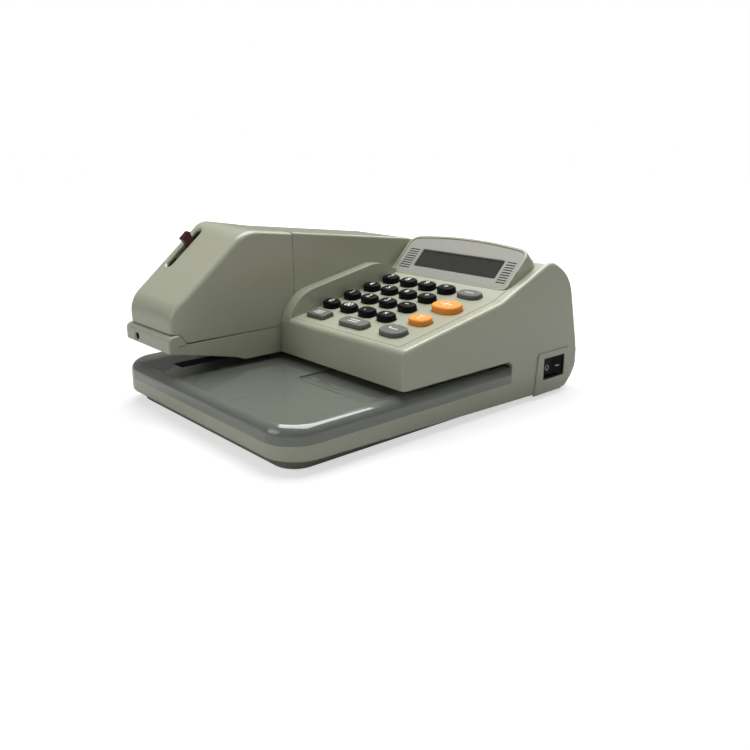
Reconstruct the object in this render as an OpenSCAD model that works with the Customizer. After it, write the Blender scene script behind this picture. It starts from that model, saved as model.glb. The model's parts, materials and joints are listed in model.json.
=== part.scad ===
// Desk check writer: a tray for the check, a console with keys and a display,
// and an overhanging arm in which a print carriage runs above the check.
// Origin: centre of the footprint on the desk. X to the user's right, Y to the rear, Z up.

/* [Overall] */
// Overall width, with the switch frame
body_w = 218; // [212:1:240]
// Overall depth, from the tray's front edge to the rear wall
body_d = 283.5; // [276:0.5:310]
// Height of the arm's crest above the desk
body_h = 128.5; // [125:0.5:138]
// Plan radius of the two front corners
front_r = 24; // [12:1:30]
// Plan radius of the two rear corners
rear_r = 3; // [2:0.5:8]
// Wall of the moulded casings
wall = 2.6; // [2:0.1:3.4]
// Gap between a moving piece and its neighbour
gap = 0.4; // [0.3:0.05:0.6]

/* [Base] */
// Height of the rubber feet under the bottom pan
foot_h = 1.6; // [1.2:0.1:3]
// Radius of a rubber foot
foot_r = 8; // [6:0.5:11]
// Inset of a foot's centre from the walls
foot_inset = 26; // [20:1:34]
// Lower edge of the base shell at the front
skirt_front_z = 9.5; // [7:0.5:12]
// Lower edge of the base shell at the rear
skirt_rear_z = 3; // [2.4:0.2:6]
// Joint line between the base shell and the tray
tray_z = 19.5; // [17:0.5:24]
// Thickness of the tray at its edge
tray_t = 11.9; // [10:0.5:15]
// Depth of the tray from front to rear
tray_d = 202; // [196:1:208]
// Radius of the tray's rounded upper edge
tray_edge_r = 7; // [3:0.5:9]
// Joint line between the base shell and the upper housing, behind the tray
rear_joint_z = 32.5; // [30:0.5:34]
// Depth of the step that guides the check into the throat
guide_step = 0.8; // [0.4:0.1:1.2]

/* [Console] */
// Clear height of the throat above the tray
throat_h = 4.8; // [4.5:0.1:7]
// Distance from the tray's front edge to the console's front face
console_setback = 92.4; // [86:0.5:98]
// Height of the console's front top edge
console_h = 62.9; // [58:0.5:68]
// Slope of the key deck in degrees
key_tilt = 10.8; // [6:0.2:13]
// Width of the raised cheek between arm and keys
cheek_w = 9; // [7:0.5:12]
// Height of the rear deck's highest edge
deck_h = 104; // [100:0.5:108]

/* [Arm] */
// Distance from the left wall of the base to the arm
arm_inset = 16.5; // [10:0.5:20]
// Width of the arm
arm_w = 65.5; // [64:0.5:76]
// Setback of the arm's front face from the tray's front edge
arm_setback = 4; // [3:0.5:8]
// Joint line between head skirt and head cover
skirt_top_z = 56; // [54:0.5:60]
// Setback of the seam between head cover and housing
seam_setback = 106; // [102:0.5:110]
// Radius of the head cover's long edges
cover_r = 4.5; // [3:0.5:8]
// Radius of the head cover's hinge pin
hinge_r = 1.2; // [1:0.05:1.5]
// Running clearance of a shaft in its hole, on the radius
shaft_play = 0.05; // [0.02:0.01:0.09]
// Length of the lever slot along the slope
slot_l = 38; // [30:1:42]
// Width of the lever slot
slot_w = 8; // [6:0.25:9]
// Angle of the lever at rest, towards the rear
lever_rest = 10; // [0:1:16]

/* [Keys] */
// Key pitch across and along the deck
key_pitch = 20.3; // [19:0.1:21.5]
// Width of a number key
key_w = 15.2; // [12:0.2:16]
// Depth of a number key
key_d = 11.2; // [9:0.2:12]
// Height of a number key above the deck
key_h = 4.8; // [3.5:0.1:6]
// Height of the grey keys above the deck
pad_h = 3.4; // [2.6:0.1:5]
// Travel of a key
key_travel = 1.8; // [1:0.1:2]

/* [Display] */
// Tilt of the display above the horizontal, in degrees
display_tilt = 45; // [38:1:50]
// Room left of the hood on the rear deck
hood_left = 3.8; // [2:0.1:8]
// Room right of the hood on the rear deck
hood_right = 8.2; // [2:0.1:14]
// Height of the display bezel along its slope, at its ends
bezel_h = 33.5; // [30:0.5:38]
// Rise of the bezel's arched upper edge
bezel_arch = 4.5; // [1:0.5:6]
// Width of the display window
window_w = 85; // [78:1:92]
// Height of the display window
window_h = 17; // [14:0.5:20]
// Rim of the hood round the bezel
hood_rim = 2.4; // [1.6:0.2:3]

/* [Switch] */
// Length of the black switch frame
switch_l = 26; // [24:0.5:28]
// Height of the black switch frame
switch_h = 17; // [15:0.5:19]
// How far the moulded frame round the switch stands out
switch_proud = 1.2; // [0.8:0.1:2]
// Swing of the rocker between off and on, in degrees
rocker_swing = 12; // [8:1:14]

/* [Print head] */
// Radius of the print wheel
wheel_r = 14; // [12:0.5:15]
// Radius of the ink roller
ink_r = 7; // [5:0.5:8]
// Radius of the guide rods
rod_r = 3; // [2.5:0.25:4]
// Working radius of the belt pulleys
pulley_r = 8; // [7:0.5:9]
// Travel of the print carriage
carriage_travel = 100; // [80:2:100]

/* [Hidden] */

$fn = 48;
SHELL = "#aeb09a";
TRAY = "#5c605b";
BLACK = "#1b1b1d";
GREY = "#6c7068";
ORANGE = "#f5a13c";
STEEL = "#b9bcc0";
BOARD = "#2f6b45";
eps = 0.02;

// Places that follow from the driving sizes.
x_left = -body_w/2;
x_right = body_w/2 - switch_proud;
y_front = -body_d/2;
y_rear = body_d/2;
y_tray = y_front + tray_d;
tray_top = tray_z + tray_t;
throat_z = tray_top + throat_h;
y_stop = y_tray - 4;
y_console = y_front + console_setback;
arm_l = x_left + arm_inset;
arm_r = arm_l + arm_w;
arm_x = (arm_l + arm_r)/2;
y_arm = y_front + arm_setback;
y_seam = y_front + seam_setback;
shelf = y_rear - y_tray;
slope_k = tan(key_tilt);
function deck_z(y) = console_h + slope_k*(y - y_console);

// Unit vector, and the points of an arc that rounds corner b of a path a, b, c.
function unit(v) = v/norm(v);
function fillet(a, b, c, r, n = 6) = r <= 0 ? [b] :
    let (u = unit(a - b), w = unit(c - b), half = acos(max(-1, min(1, u*w)))/2,
        m = b + unit(u + w)*r/sin(half), p = b + u*r/tan(half) - m, q = b + w*r/tan(half) - m,
        a0 = atan2(p.y, p.x), turn = atan2(p.x*q.y - p.y*q.x, p*q))
    [for (i = [0:n]) m + r*[cos(a0 + turn*i/n), sin(a0 + turn*i/n)]];
function rounded(path, radii, n = 6) = [for (i = [0:len(path) - 1])
    each fillet(path[(i + len(path) - 1) % len(path)], path[i], path[(i + 1) % len(path)],
        radii[i], n)];

// A side profile, given as [y, z] points, drawn across from x0 to x1.
module across(x0, x1) {
    translate([x0, 0, 0]) rotate([90, 0, 90]) linear_extrude(x1 - x0) children();
}
// An outline in plan, drawn up from z0 to z1.
module upright(z0, z1) {
    translate([0, 0, z0]) linear_extrude(z1 - z0) children();
}
module box(lo, hi) {
    translate(lo) cube(hi - lo);
}
// Outline with two round ends, w long and d wide.
module stadium(w, d, n = 12) {
    polygon([for (s = [1, -1], i = [0:n])
        [s*((w - d)/2 + d/2*sin(180*i/n)), -s*d/2*cos(180*i/n)]]);
}
// Full oval outline, w long and d wide.
module oval(w, d, n = 12) {
    polygon([for (i = [0:2*n - 1]) let (c = cos(180*i/n), s = sin(180*i/n))
        [sign(c)*w/2*pow(abs(c), 0.8), sign(s)*d/2*pow(abs(s), 0.8)]]);
}
// Plan outline of the whole body, drawn in by d.
module plan(d = 0) {
    polygon(rounded([[x_left + d, y_front + d], [x_right - d, y_front + d],
        [x_right - d, y_rear - d], [x_left + d, y_rear - d]],
        [front_r - d, front_r - d, rear_r - min(d, rear_r - 1), rear_r - min(d, rear_r - 1)]));
}

// ---- Base ----

pan_z = foot_h;
base_wall = wall + 0.4;
rear_low_y = y_rear - 16;
// Rear wall of the base from its lower edge up, as [distance from the rearmost point, z].
rear_curve = [[12, 5.9], [7.3, 10.4], [3, 17.4], [0.9, 22.5], [0, 28], [0.3, rear_joint_z]];

// Side profile of the base shell, drawn in by d at the rear wall only.
module base_side(d = 0, top_front = tray_z, top_rear = rear_joint_z) {
    polygon(concat([[y_front - 1, skirt_front_z - d], [rear_low_y - d, skirt_rear_z - d]],
        [for (p = rear_curve) [y_rear - p.x - d, p.y]],
        top_rear > rear_joint_z ? [[y_rear - rear_curve[5].x - d, top_rear]] : [],
        [[y_tray, top_rear], [y_tray, top_front], [y_front - 1, top_front]]));
}
pan_xy = [for (x = [x_left + foot_inset, x_right - foot_inset],
    y = [y_front + foot_inset, y_rear - foot_inset - 12]) [x, y]];
post_r = 4.5;
post_gap = 0.8;
screw_r = 1.6;
pan_t = 2;
pan_inset = base_wall + 6;
lip_t = 2;
function post_xy(p) = [p.x + sign(p.x)*(foot_inset - pan_inset - post_r - post_gap - 1), p.y];
post_top = skirt_front_z + 4;

// Switch place on the right wall: its centre, and the moulded frame round it.
switch_y = y_rear - 31.5;
switch_z = 22.6;
frame_m = 6;
frame_top = switch_z + switch_h/2 + 4.5;
module switch_frame_outline() {
    polygon(rounded([[switch_y - switch_l/2 - frame_m - 4, skirt_rear_z],
        [switch_y + switch_l/2 + frame_m - 8, skirt_rear_z],
        [switch_y + switch_l/2 + frame_m, switch_z - switch_h/2 + 2],
        [switch_y + switch_l/2 + frame_m, frame_top],
        [switch_y - switch_l/2 - frame_m, frame_top]], [0, 0, 6, 2, 2]));
}
// Inlet place on the rear wall.
inlet_x = x_left + 60;
inlet_z = 22;
inlet_w = 27;
inlet_h = 16;
inlet_y = y_rear - 6.5;

module base_shell() {
    color(SHELL) {
        difference() {
            intersection() {
                across(x_left, x_right) base_side();
                upright(0, body_h) plan();
            }
            intersection() {
                across(x_left, x_right)
                    base_side(base_wall, tray_z + 1, rear_joint_z + 1);
                upright(-1, body_h) plan(base_wall);
            }
            box([x_right - base_wall - 1, switch_y - switch_l/2 + 1, switch_z - switch_h/2 + 1],
                [x_right + 1, switch_y + switch_l/2 - 1, switch_z + switch_h/2 - 1]);
            box([inlet_x - inlet_w/2, y_rear - 20, inlet_z - inlet_h/2],
                [inlet_x + inlet_w/2, y_rear + 1, inlet_z + inlet_h/2]);
        }
        difference() {
            across(x_right - eps, x_right + switch_proud) switch_frame_outline();
            box([x_right - 1, switch_y - switch_l/2, switch_z - switch_h/2],
                [x_right + switch_proud + 1, switch_y + switch_l/2, switch_z + switch_h/2]);
        }
        base_lip();
        for (p = pan_xy) screw_post(post_xy(p));
        tray_ledge();
    }
}
// Lip round the base shell's lower edge, turned in towards the bottom pan.
module base_lip() {
    intersection() {
        across(x_left, x_right) polygon([[y_front, skirt_front_z], [rear_low_y, skirt_rear_z],
            [rear_low_y, skirt_rear_z + lip_t], [y_front, skirt_front_z + lip_t]]);
        upright(0, body_h) difference() {
            plan(base_wall - 1);
            pan_outline(-gap);
        }
    }
}
// A screw post that grows out of the side wall.
module screw_post(p) {
    side = sign(p.x);
    difference() {
        union() {
            translate([p.x, p.y, pan_z + pan_t]) cylinder(r = post_r, h = post_top - pan_z - pan_t);
            box([min(p.x, side*(-x_left - base_wall + 1)), p.y - 1.5, skirt_front_z],
                [max(p.x, side*(-x_left - base_wall + 1)), p.y + 1.5, post_top]);
        }
        translate([p.x, p.y, pan_z]) cylinder(r = screw_r, h = post_top - pan_z - 1);
    }
}
// Cross wall under the tray's rear edge, which carries the tray.
ledge_y = y_tray - 9;
module tray_ledge() {
    difference() {
        box([x_left + base_wall - eps, ledge_y, pan_z + pan_t + gap],
            [x_right - base_wall + eps, ledge_y + wall, tray_z]);
        upright(pan_z, pan_rim[0] + gap) difference() {
            pan_outline(-gap);
            pan_outline(pan_t + gap);
        }
    }
}

// Bottom pan: a shallow tray, standing inside the base shell's lower edge.
module pan_outline(d = 0) {
    intersection() {
        plan(pan_inset + d);
        translate([x_left, y_front]) square([body_w, rear_low_y - y_front - pan_inset - d]);
    }
}
pan_rim = [skirt_front_z + 3, skirt_rear_z + 3];
module bottom_pan() {
    color(GREY) difference() {
        intersection() {
            upright(pan_z, pan_rim[0]) pan_outline();
            across(x_left, x_right) polygon([[y_front, 0], [y_rear, 0],
                [y_rear, pan_rim[1]], [y_front, pan_rim[0]]]);
        }
        upright(pan_z + pan_t, body_h) pan_outline(pan_t);
        for (p = pan_xy) {
            translate([post_xy(p).x, p.y, -1]) cylinder(r = screw_r + 0.3, h = 20);
            translate([p.x, p.y, pan_z - 1]) cylinder(r = foot_r - 3, h = 2);
            box([min(post_xy(p).x, post_xy(p).x + sign(p.x)*20), p.y - 2.5, skirt_front_z - gap],
                [max(post_xy(p).x, post_xy(p).x + sign(p.x)*20), p.y + 2.5, body_h]);
            translate([post_xy(p).x, p.y, pan_z + pan_t]) cylinder(r = post_r + 0.3, h = 20);
        }
    }
}
module rubber_feet() {
    color(BLACK) for (p = pan_xy) translate([p.x, p.y, 0]) {
        cylinder(r1 = foot_r - 0.8, r2 = foot_r, h = foot_h);
        translate([0, 0, foot_h]) cylinder(r = foot_r - 3, h = 1);
    }
}
module pan_screws() {
    color(STEEL) for (p = pan_xy) translate([post_xy(p).x, p.y, pan_z - 1.2]) {
        difference() {
            cylinder(r = screw_r + 0.9, h = 1.2);
            translate([0, 0, -0.1]) box([-0.4, -1.8, 0], [0.4, 1.8, 0.7]);
            translate([0, 0, -0.1]) box([-1.8, -0.4, 0], [1.8, 0.4, 0.7]);
        }
        translate([0, 0, 1.2]) cylinder(r = screw_r, h = 9);
    }
}

// ---- Tray ----

platen_w = 14;
platen_x = arm_x;
platen_y0 = y_arm + 18;
platen_y1 = y_stop - 4;
tray_skin = 3;

// One thin layer of the tray's rounded edge, at angle a of the quarter round.
module tray_layer(a) {
    d = tray_edge_r*(1 - cos(a));
    z = tray_top - tray_edge_r + tray_edge_r*sin(a);
    upright(z - 0.1, z) intersection() {
        plan(d);
        translate([x_left, y_front]) square([body_w, tray_d]);
    }
}
guide_x = [arm_r + 50, x_right - 10];
module tray() {
    color(TRAY) difference() {
        hull() {
            upright(tray_z, tray_z + 0.2) intersection() {
                plan();
                translate([x_left, y_front]) square([body_w, tray_d]);
            }
            for (a = [0, 30, 60, 90]) tray_layer(a);
        }
        upright(tray_z - 1, tray_top - tray_skin) intersection() {
            plan(base_wall);
            translate([x_left, y_front]) square([body_w, tray_d - base_wall]);
        }
        box([guide_x[0], y_console - 22.4, tray_top - guide_step],
            [guide_x[1], y_stop, tray_top + 1]);
        box([platen_x - platen_w/2 - 0.2, platen_y0 - 0.2, tray_top - tray_skin - 1],
            [platen_x + platen_w/2 + 0.2, platen_y1 + 0.2, tray_top + 1]);
    }
}
// Rubber bar that backs the check under the print wheel, on its steel channel.
module platen_bar() {
    color(BLACK) {
        box([platen_x - platen_w/2, platen_y0, tray_top - tray_skin - 3],
            [platen_x + platen_w/2, platen_y1, tray_top - 0.1]);
        box([platen_x - platen_w/2 - 4, platen_y0 - 4, tray_top - tray_skin - 4],
            [platen_x + platen_w/2 + 4, platen_y1 + 3, tray_top - tray_skin - 0.02]);
    }
}

// ---- Upper housing ----

// Points of the side profiles, as [y, z].
y_bend = y_console + 96;
bend = [y_bend, deck_z(y_bend)];
y_crest = y_rear - 39;
crest = [y_crest, deck_h + 1.5];
brow = [y_rear - 14.5, deck_h - 12.5];
hip = [y_rear - 1.4, 38.6];
heel = [y_rear - 0.3, rear_joint_z];
// Arm crest: its height falls towards the rear.
arm_slope = 0.115;
arm_nose_y = y_arm + 61;
arm_drop = 1.3;
function arm_top(y) = body_h + arm_drop - arm_slope*(y - arm_nose_y);
arm_crest = [y_crest, min(arm_top(y_crest), deck_h + 5)];

module console_side(d = 0) {
    offset(delta = -d) polygon(rounded([[y_console, throat_z], [y_console, console_h], bend,
        crest, brow, hip, heel, [y_stop + 4, rear_joint_z], [y_stop, throat_z]],
        [0, 3, 30, 9, 20, 10, 0, 0, 0], 5));
}
module arm_side(d = 0) {
    offset(delta = -d) polygon(rounded([[y_seam, throat_z], [y_seam, arm_top(y_seam)],
        [y_crest - 20, arm_top(y_crest - 20)], arm_crest + [2, -3],
        brow, hip, heel, [y_stop + 4, rear_joint_z], [y_stop, throat_z]],
        [0, 0, 40, 12, 20, 10, 0, 0, 0], 5));
}
// Low shoulder left of the arm, over the base's left edge.
shoulder_h = 66;
module shoulder_side(d = 0) {
    offset(delta = -d) polygon(rounded([[y_stop + 4, rear_joint_z], [y_stop + 8, shoulder_h],
        [y_rear - 7, shoulder_h], hip, heel], [0, 14, 8, 10, 0], 5));
}
// Plan outline of the console, with its rounded front corner.
console_r = 6;
module console_plan(d = 0) {
    polygon(rounded([[arm_r - 2, y_console + d], [x_right - d, y_console + d],
        [x_right - d, y_rear + 1], [arm_r - 2, y_rear + 1]], [0, console_r - d, 0, 0]));
}
// Cheek: the raised ridge between the arm and the keys.
cheek_rise = 14.5;
module cheek_side() {
    front = y_console + 12;
    polygon(rounded([[y_console, console_h - 12], [y_console, console_h],
        [front, deck_z(front) + cheek_rise + 1], [front + 81.6, deck_z(front + 81.6) + cheek_rise + 2.2],
        [front + 103, deck_z(front + 103) - 0.4], [front + 103, console_h]],
        [0, 6, 9, 34, 0, 0], 5));
}
// Display frame of reference: bottom middle of the bezel, on its face.
console_w = x_right - arm_r;
bezel_w = console_w - 2*hood_rim - hood_left - hood_right;
hood_x = arm_r + bezel_w/2 + hood_rim + hood_left;
hood_y = y_console + 109.3;
hood_z = deck_z(hood_y) + 4.2;
module on_display() {
    translate([hood_x, hood_y, hood_z]) rotate([display_tilt, 0, 0]) children();
}
// Bezel outline with its arched top, grown by d.
module bezel_outline(d = 0) {
    half = bezel_w/2 + d;
    steps = 10;
    path = concat([[-half, -d], [half, -d]], [for (i = [0:steps]) let (x = half - 2*half*i/steps)
        [x, bezel_h + d + bezel_arch*(1 - pow(x/half, 2))]]);
    polygon(rounded(path, concat([bezel_r + d, bezel_r + d, bezel_r + d + 2],
        [for (i = [2:steps]) 0], [bezel_r + d + 2]), 4));
}
bezel_r = 5;
hood_deep = 17;
hood_lip = 1.6;
module on_deck(x, y) {
    translate([x, y, deck_z(y)]) rotate([key_tilt, 0, 0]) children();
}
module housing_outer() {
    intersection() {
        across(arm_r - eps, x_right) console_side();
        upright(0, body_h) console_plan();
    }
    across(arm_l, arm_r) arm_side();
    across(x_left, arm_l + eps) shoulder_side();
    across(arm_r - 1, arm_r + cheek_w) cheek_side();
    on_display() translate([0, 0, -hood_deep]) linear_extrude(hood_deep) bezel_outline(hood_rim);
}
module housing_inner() {
    intersection() {
        union() {
            intersection() {
                across(arm_r - wall, x_right - wall) console_side(wall);
                upright(0, body_h) console_plan(wall);
            }
            across(arm_l + wall, arm_r - wall) arm_side(wall);
            across(arm_l + wall, arm_r - wall) box2([y_seam - 1, skirt_floor_z + wall],
                [y_seam + wall + 1, arm_top(y_seam) - wall - 3]);
            across(x_left + wall, arm_l + wall + eps) shoulder_side(wall);
            across(x_left + wall, x_right - wall) box2([y_stop + 4 + wall, rear_joint_z - 1],
                [heel.x - wall, rear_joint_z + wall + 2]);
        }
        upright(0, body_h) plan(wall);
    }
    on_display() translate([0, 0, -hood_deep - 8]) linear_extrude(hood_deep + 8 - hood_lip - wall)
        bezel_outline(hood_rim - wall);
}
module box2(lo, hi) {
    translate(lo) square(hi - lo);
}
ear_x = [arm_l + 15, arm_r - 16];
ear_w = 6;
hinge_y = y_seam - 2.8;
// Clearance between the moving cover and the console beside it.
side_gap = 0.3;
hinge_z = arm_top(y_seam) - 2.4;
knuckle_r = 2.3;
module upper_housing() {
    color(SHELL) difference() {
        union() {
            difference() {
                intersection() {
                    housing_outer();
                    upright(0, body_h + 10) plan();
                }
                housing_inner();
            }
            for (x = ear_x) hinge_ear(x);
        }
        for (k = KEYS) on_deck(k[1], k[2]) translate([0, 0, -wall - 3]) linear_extrude(wall + 12)
            key_outline(k, gap);
        on_display() {
            translate([0, 0, -hood_lip]) linear_extrude(10) bezel_outline(0.15);
            translate([window_x - window_w/2 - 1, window_low - 1, -10])
                cube([window_w + 2, window_h + 2, 20]);
        }
        across(x_right - wall - 1, x_right + 5) offset(delta = 0.2) switch_frame_outline();
        box([slot_x[0], y_seam - 1, throat_z - 1],
            [slot_x[1], carriage_y + wheel_r + 3, throat_z + wall + 1]);
        box([arm_r - 3, y_console - 1, throat_z - 1], [arm_r + side_gap, y_seam, body_h]);
        for (x = ear_x) translate([x - ear_w, hinge_y, hinge_z]) rotate([0, 90, 0])
            cylinder(r = hinge_r, h = 2*ear_w);
    }
}
module hinge_ear(x) {
    translate([x - ear_w/2, hinge_y, hinge_z]) rotate([0, 90, 0]) cylinder(r = knuckle_r, h = ear_w);
    box([x - ear_w/2, hinge_y, hinge_z - knuckle_r], [x + ear_w/2, y_seam + wall + 1, hinge_z + 0.5]);
}
window_low = (bezel_h - window_h)/2 - 0.8;
window_x = 2;

// ---- Display ----

module display_bezel() {
    color("#9b9c94") on_display() translate([0, 0, -hood_lip]) difference() {
        linear_extrude(hood_lip - 0.4) bezel_outline();
        translate([window_x - window_w/2, window_low, -1]) cube([window_w, window_h, 5]);
    }
}
module display_window() {
    color("#5d645c") on_display()
        translate([window_x - window_w/2 - 0.9, window_low - 0.9, -hood_lip - 1])
        cube([window_w + 1.8, window_h + 1.8, 1]);
}
module lcd_module() {
    lcd_top = -hood_lip - wall;
    color(BOARD) on_display() {
        translate([window_x - window_w/2 - 5, window_low - 4, lcd_top - 1.6])
            cube([window_w + 10, window_h + 8, 1.6]);
        translate([window_x - window_w/2 - 0.5, window_low - 0.5, lcd_top - eps])
            cube([window_w + 1, window_h + 1, wall - 1.1]);
    }
}

// ---- Keys ----

// The columns spread over the deck's width, right of the cheek.
column_pitch = (console_w - cheek_w)/6.197;
key_x0 = arm_r + cheek_w + 0.532*column_pitch;
key_y0 = y_console + 34.6;
pad_x = key_x0 + 4.33*column_pitch;
pad_w = 24;
// Each key: name, x, y, width, depth, height, corner radius (0 means round ends), colour.
function grid_key(name, col, row) = [name, key_x0 + col*column_pitch, key_y0 + row*key_pitch,
    key_w, key_d, key_h, 0, BLACK];
GRID = [["key_0", "key_00", "key_point", "key_times"], ["key_1", "key_2", "key_3", "key_minus"],
    ["key_4", "key_5", "key_6", "key_plus"], ["key_7", "key_8", "key_9", "key_divide"]];
PADS = [
    ["key_menu", key_x0 + 0.4*column_pitch, key_y0 - 18.2, 20, 11, pad_h, 1.5, GREY],
    ["key_total", key_x0 + 2.35*column_pitch, key_y0 - 18.2, 27, 11, pad_h, 4, GREY],
    ["key_clear", pad_x - 3, key_y0 - 15.4, 22, 15, pad_h, 0, GREY],
    ["key_feed", pad_x, key_y0 + 7, 18, 13, key_h - 0.6, 0, ORANGE],
    ["key_print", pad_x, key_y0 + 33.2, pad_w, 16, key_h, 0, ORANGE],
    ["key_reset", pad_x - 4, key_y0 + 61, 21, 12, pad_h, 0, GREY]];
KEYS = concat([for (r = [0:3], c = [0:3]) grid_key(GRID[r][c], c, r)], PADS);

// Outline of key k, grown by d.
module key_outline(k, d = 0) {
    w = k[3] + 2*d;
    h = k[4] + 2*d;
    if (k[6] == 0) oval(w, h);
    if (k[6] > 0) polygon(rounded([[-w/2, -h/2], [w/2, -h/2], [w/2, h/2], [-w/2, h/2]],
        [for (i = [0:3]) k[6] + max(d, 0)], 4));
}
flange_t = 1.2;
flange_w = 1.4;
flange_top = wall + 0.15;
module key(k) {
    h = k[5];
    color(k[7]) on_deck(k[1], k[2]) {
        translate([0, 0, -flange_top - flange_t]) linear_extrude(flange_t) key_outline(k);
        translate([-k[3]/4, -k[4]/2 - flange_w, -flange_top - flange_t])
            cube([k[3]/2, k[4] + 2*flange_w, flange_t]);
        translate([0, 0, -flange_top - eps]) linear_extrude(flange_top + 0.6) key_outline(k);
        hull() {
            for (s = [[0.5, 0], [0.62*h, -0.5], [0.88*h, -1.3], [h - 0.2, -2.8]])
                translate([0, 0, s[0]]) linear_extrude(0.2) key_outline(k, k[6] > 0 ? s[1]*0.5 : s[1], $fn = 24);
        }
    }
}
deck_lo = [key_x0 - 10, key_y0 - 28];
deck_hi = [pad_x + pad_w/2 + flange_w + 0.9, key_y0 + 70];
mat_drop = flange_top + flange_t + key_travel + 0.2;
module deck_plate(drop, t, inset = 0) {
    mid = (deck_lo + deck_hi)/2;
    on_deck(mid.x, mid.y) translate([-(deck_hi.x - deck_lo.x)/2 + inset,
        -(deck_hi.y - deck_lo.y)/2 + inset, -drop - t])
        cube([deck_hi.x - deck_lo.x - 2*inset, deck_hi.y - deck_lo.y - 2*inset, t]);
}
// Rubber switch mat, with a rail on each side that hangs it from the deck.
module key_mat() {
    color("#8b8f88") {
        deck_plate(mat_drop, 1.4);
        for (s = [0, 1]) {
            mid = (deck_lo + deck_hi)/2;
            on_deck(s == 0 ? deck_lo.x - 1.5 : deck_hi.x + 1.5, mid.y)
                translate([-2, -(deck_hi.y - deck_lo.y)/2, -mat_drop - 1.4])
                cube([4, deck_hi.y - deck_lo.y, mat_drop + 1.4 - wall - 0.1]);
        }
    }
}
module key_board() {
    color(BOARD) deck_plate(mat_drop + 1.4, 1.6);
}

// ---- Switch and inlet ----

rocker_x = x_right - 4.3;
rocker_l = switch_l - 5;
rocker_h = switch_h - 4;
module switch_body() {
    face = x_right + switch_proud - 0.2;
    color(BLACK) difference() {
        union() {
            box([x_right, switch_y - switch_l/2 + 0.1, switch_z - switch_h/2 + 0.1],
                [face, switch_y + switch_l/2 - 0.1, switch_z + switch_h/2 - 0.1]);
            box([x_right - 20, switch_y - switch_l/2 + 1.1, switch_z - switch_h/2 + 1.1],
                [x_right + eps, switch_y + switch_l/2 - 1.1, switch_z + switch_h/2 - 1.1]);
        }
        box([rocker_x - 6, switch_y - rocker_l/2 - 0.9, switch_z - rocker_h/2 - gap],
            [face + 1, switch_y + rocker_l/2 + 0.9, switch_z + rocker_h/2 + gap]);
        translate([rocker_x, switch_y, switch_z - rocker_h/2 - 1.5])
            cylinder(r = 1 + shaft_play, h = rocker_h + 3);
    }
    color(STEEL) for (s = [-1, 1]) translate([x_right - 26, switch_y + s*6 - 0.4, switch_z - 3])
        cube([6, 0.8, 6]);
}
// Rocker: a shallow V that tips about a vertical pin.
module switch_rocker() {
    half = rocker_l/2;
    color(BLACK) translate([rocker_x, switch_y, switch_z]) {
        rotate([0, 0, -rocker_swing/2]) translate([0, 0, -rocker_h/2]) linear_extrude(rocker_h)
            polygon([[-3.2, -4], [1, -half], [4.4, -half], [3.2, 0], [4.4, half], [1, half], [-3.2, 4]]);
        translate([0, 0, -rocker_h/2 - 1.3]) cylinder(r = 1, h = rocker_h + 2.6);
    }
}
module power_inlet() {
    lo = [inlet_x - inlet_w/2 + 0.2, inlet_y - 22, inlet_z - inlet_h/2 + 0.2];
    hi = [inlet_x + inlet_w/2 - 0.2, inlet_y, inlet_z + inlet_h/2 - 0.2];
    color(BLACK) difference() {
        union() {
            box(lo, hi);
            box(lo + [-3, 22 - 8 - wall, 0], [hi.x + 3, inlet_y - 8, hi.z]);
        }
        translate([inlet_x, inlet_y + 1, inlet_z]) rotate([90, 0, 0]) linear_extrude(17)
            stadium(inlet_w - 5, inlet_h - 5);
    }
    color(STEEL) for (s = [-1, 1]) translate([inlet_x + s*5, inlet_y - 5, inlet_z])
        rotate([90, 0, 0]) cylinder(r = 1.2, h = 12);
}

// ---- Boards and power supply ----

floor_z = pan_z + pan_t;
module main_board() {
    color(BOARD) {
        box([x_left + 24, y_front + 50, floor_z + 5], [x_right - 60, y_tray - 40, floor_z + 6.6]);
        for (x = [x_left + 30, x_right - 66], y = [y_front + 56, y_tray - 46])
            translate([x, y, floor_z]) cylinder(r = 3, h = 5 + eps);
        box([-20, -40, floor_z + 6.6 - eps], [10, -25, floor_z + 9]);
        box([x_left + 34, -20, floor_z + 6.6 - eps], [x_left + 70, -4, floor_z + 9.5]);
    }
}
// Free bay between the tray's ledge and the rear wall, and the room kept round the winding.
supply_bay = [ledge_y + wall, y_rear - rear_curve[0].x - base_wall];
supply_gap = 10;
supply_w = 54;
supply_h = 42;
winding_out = 6;
module transformer() {
    x0 = arm_r + 37;
    y0 = supply_bay[0] + supply_gap + winding_out;
    y1 = supply_bay[1] - supply_gap - winding_out;
    color(STEEL) {
        box([x0, y0, floor_z], [x0 + supply_w, y0 + 2, floor_z + 12]);
        box([x0 + 8, y0, floor_z], [x0 + supply_w - 8, y1, floor_z + supply_h]);
    }
    color("#c9a23c") box([x0 + 14, y0 - winding_out, floor_z + 8],
        [x0 + supply_w - 14, y1 + winding_out, floor_z + supply_h - 8]);
}

// ---- Print arm ----

skirt_floor_z = throat_z;
nose_z = [48.5, 62.5];
y_skirt = y_arm + 3;
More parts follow.
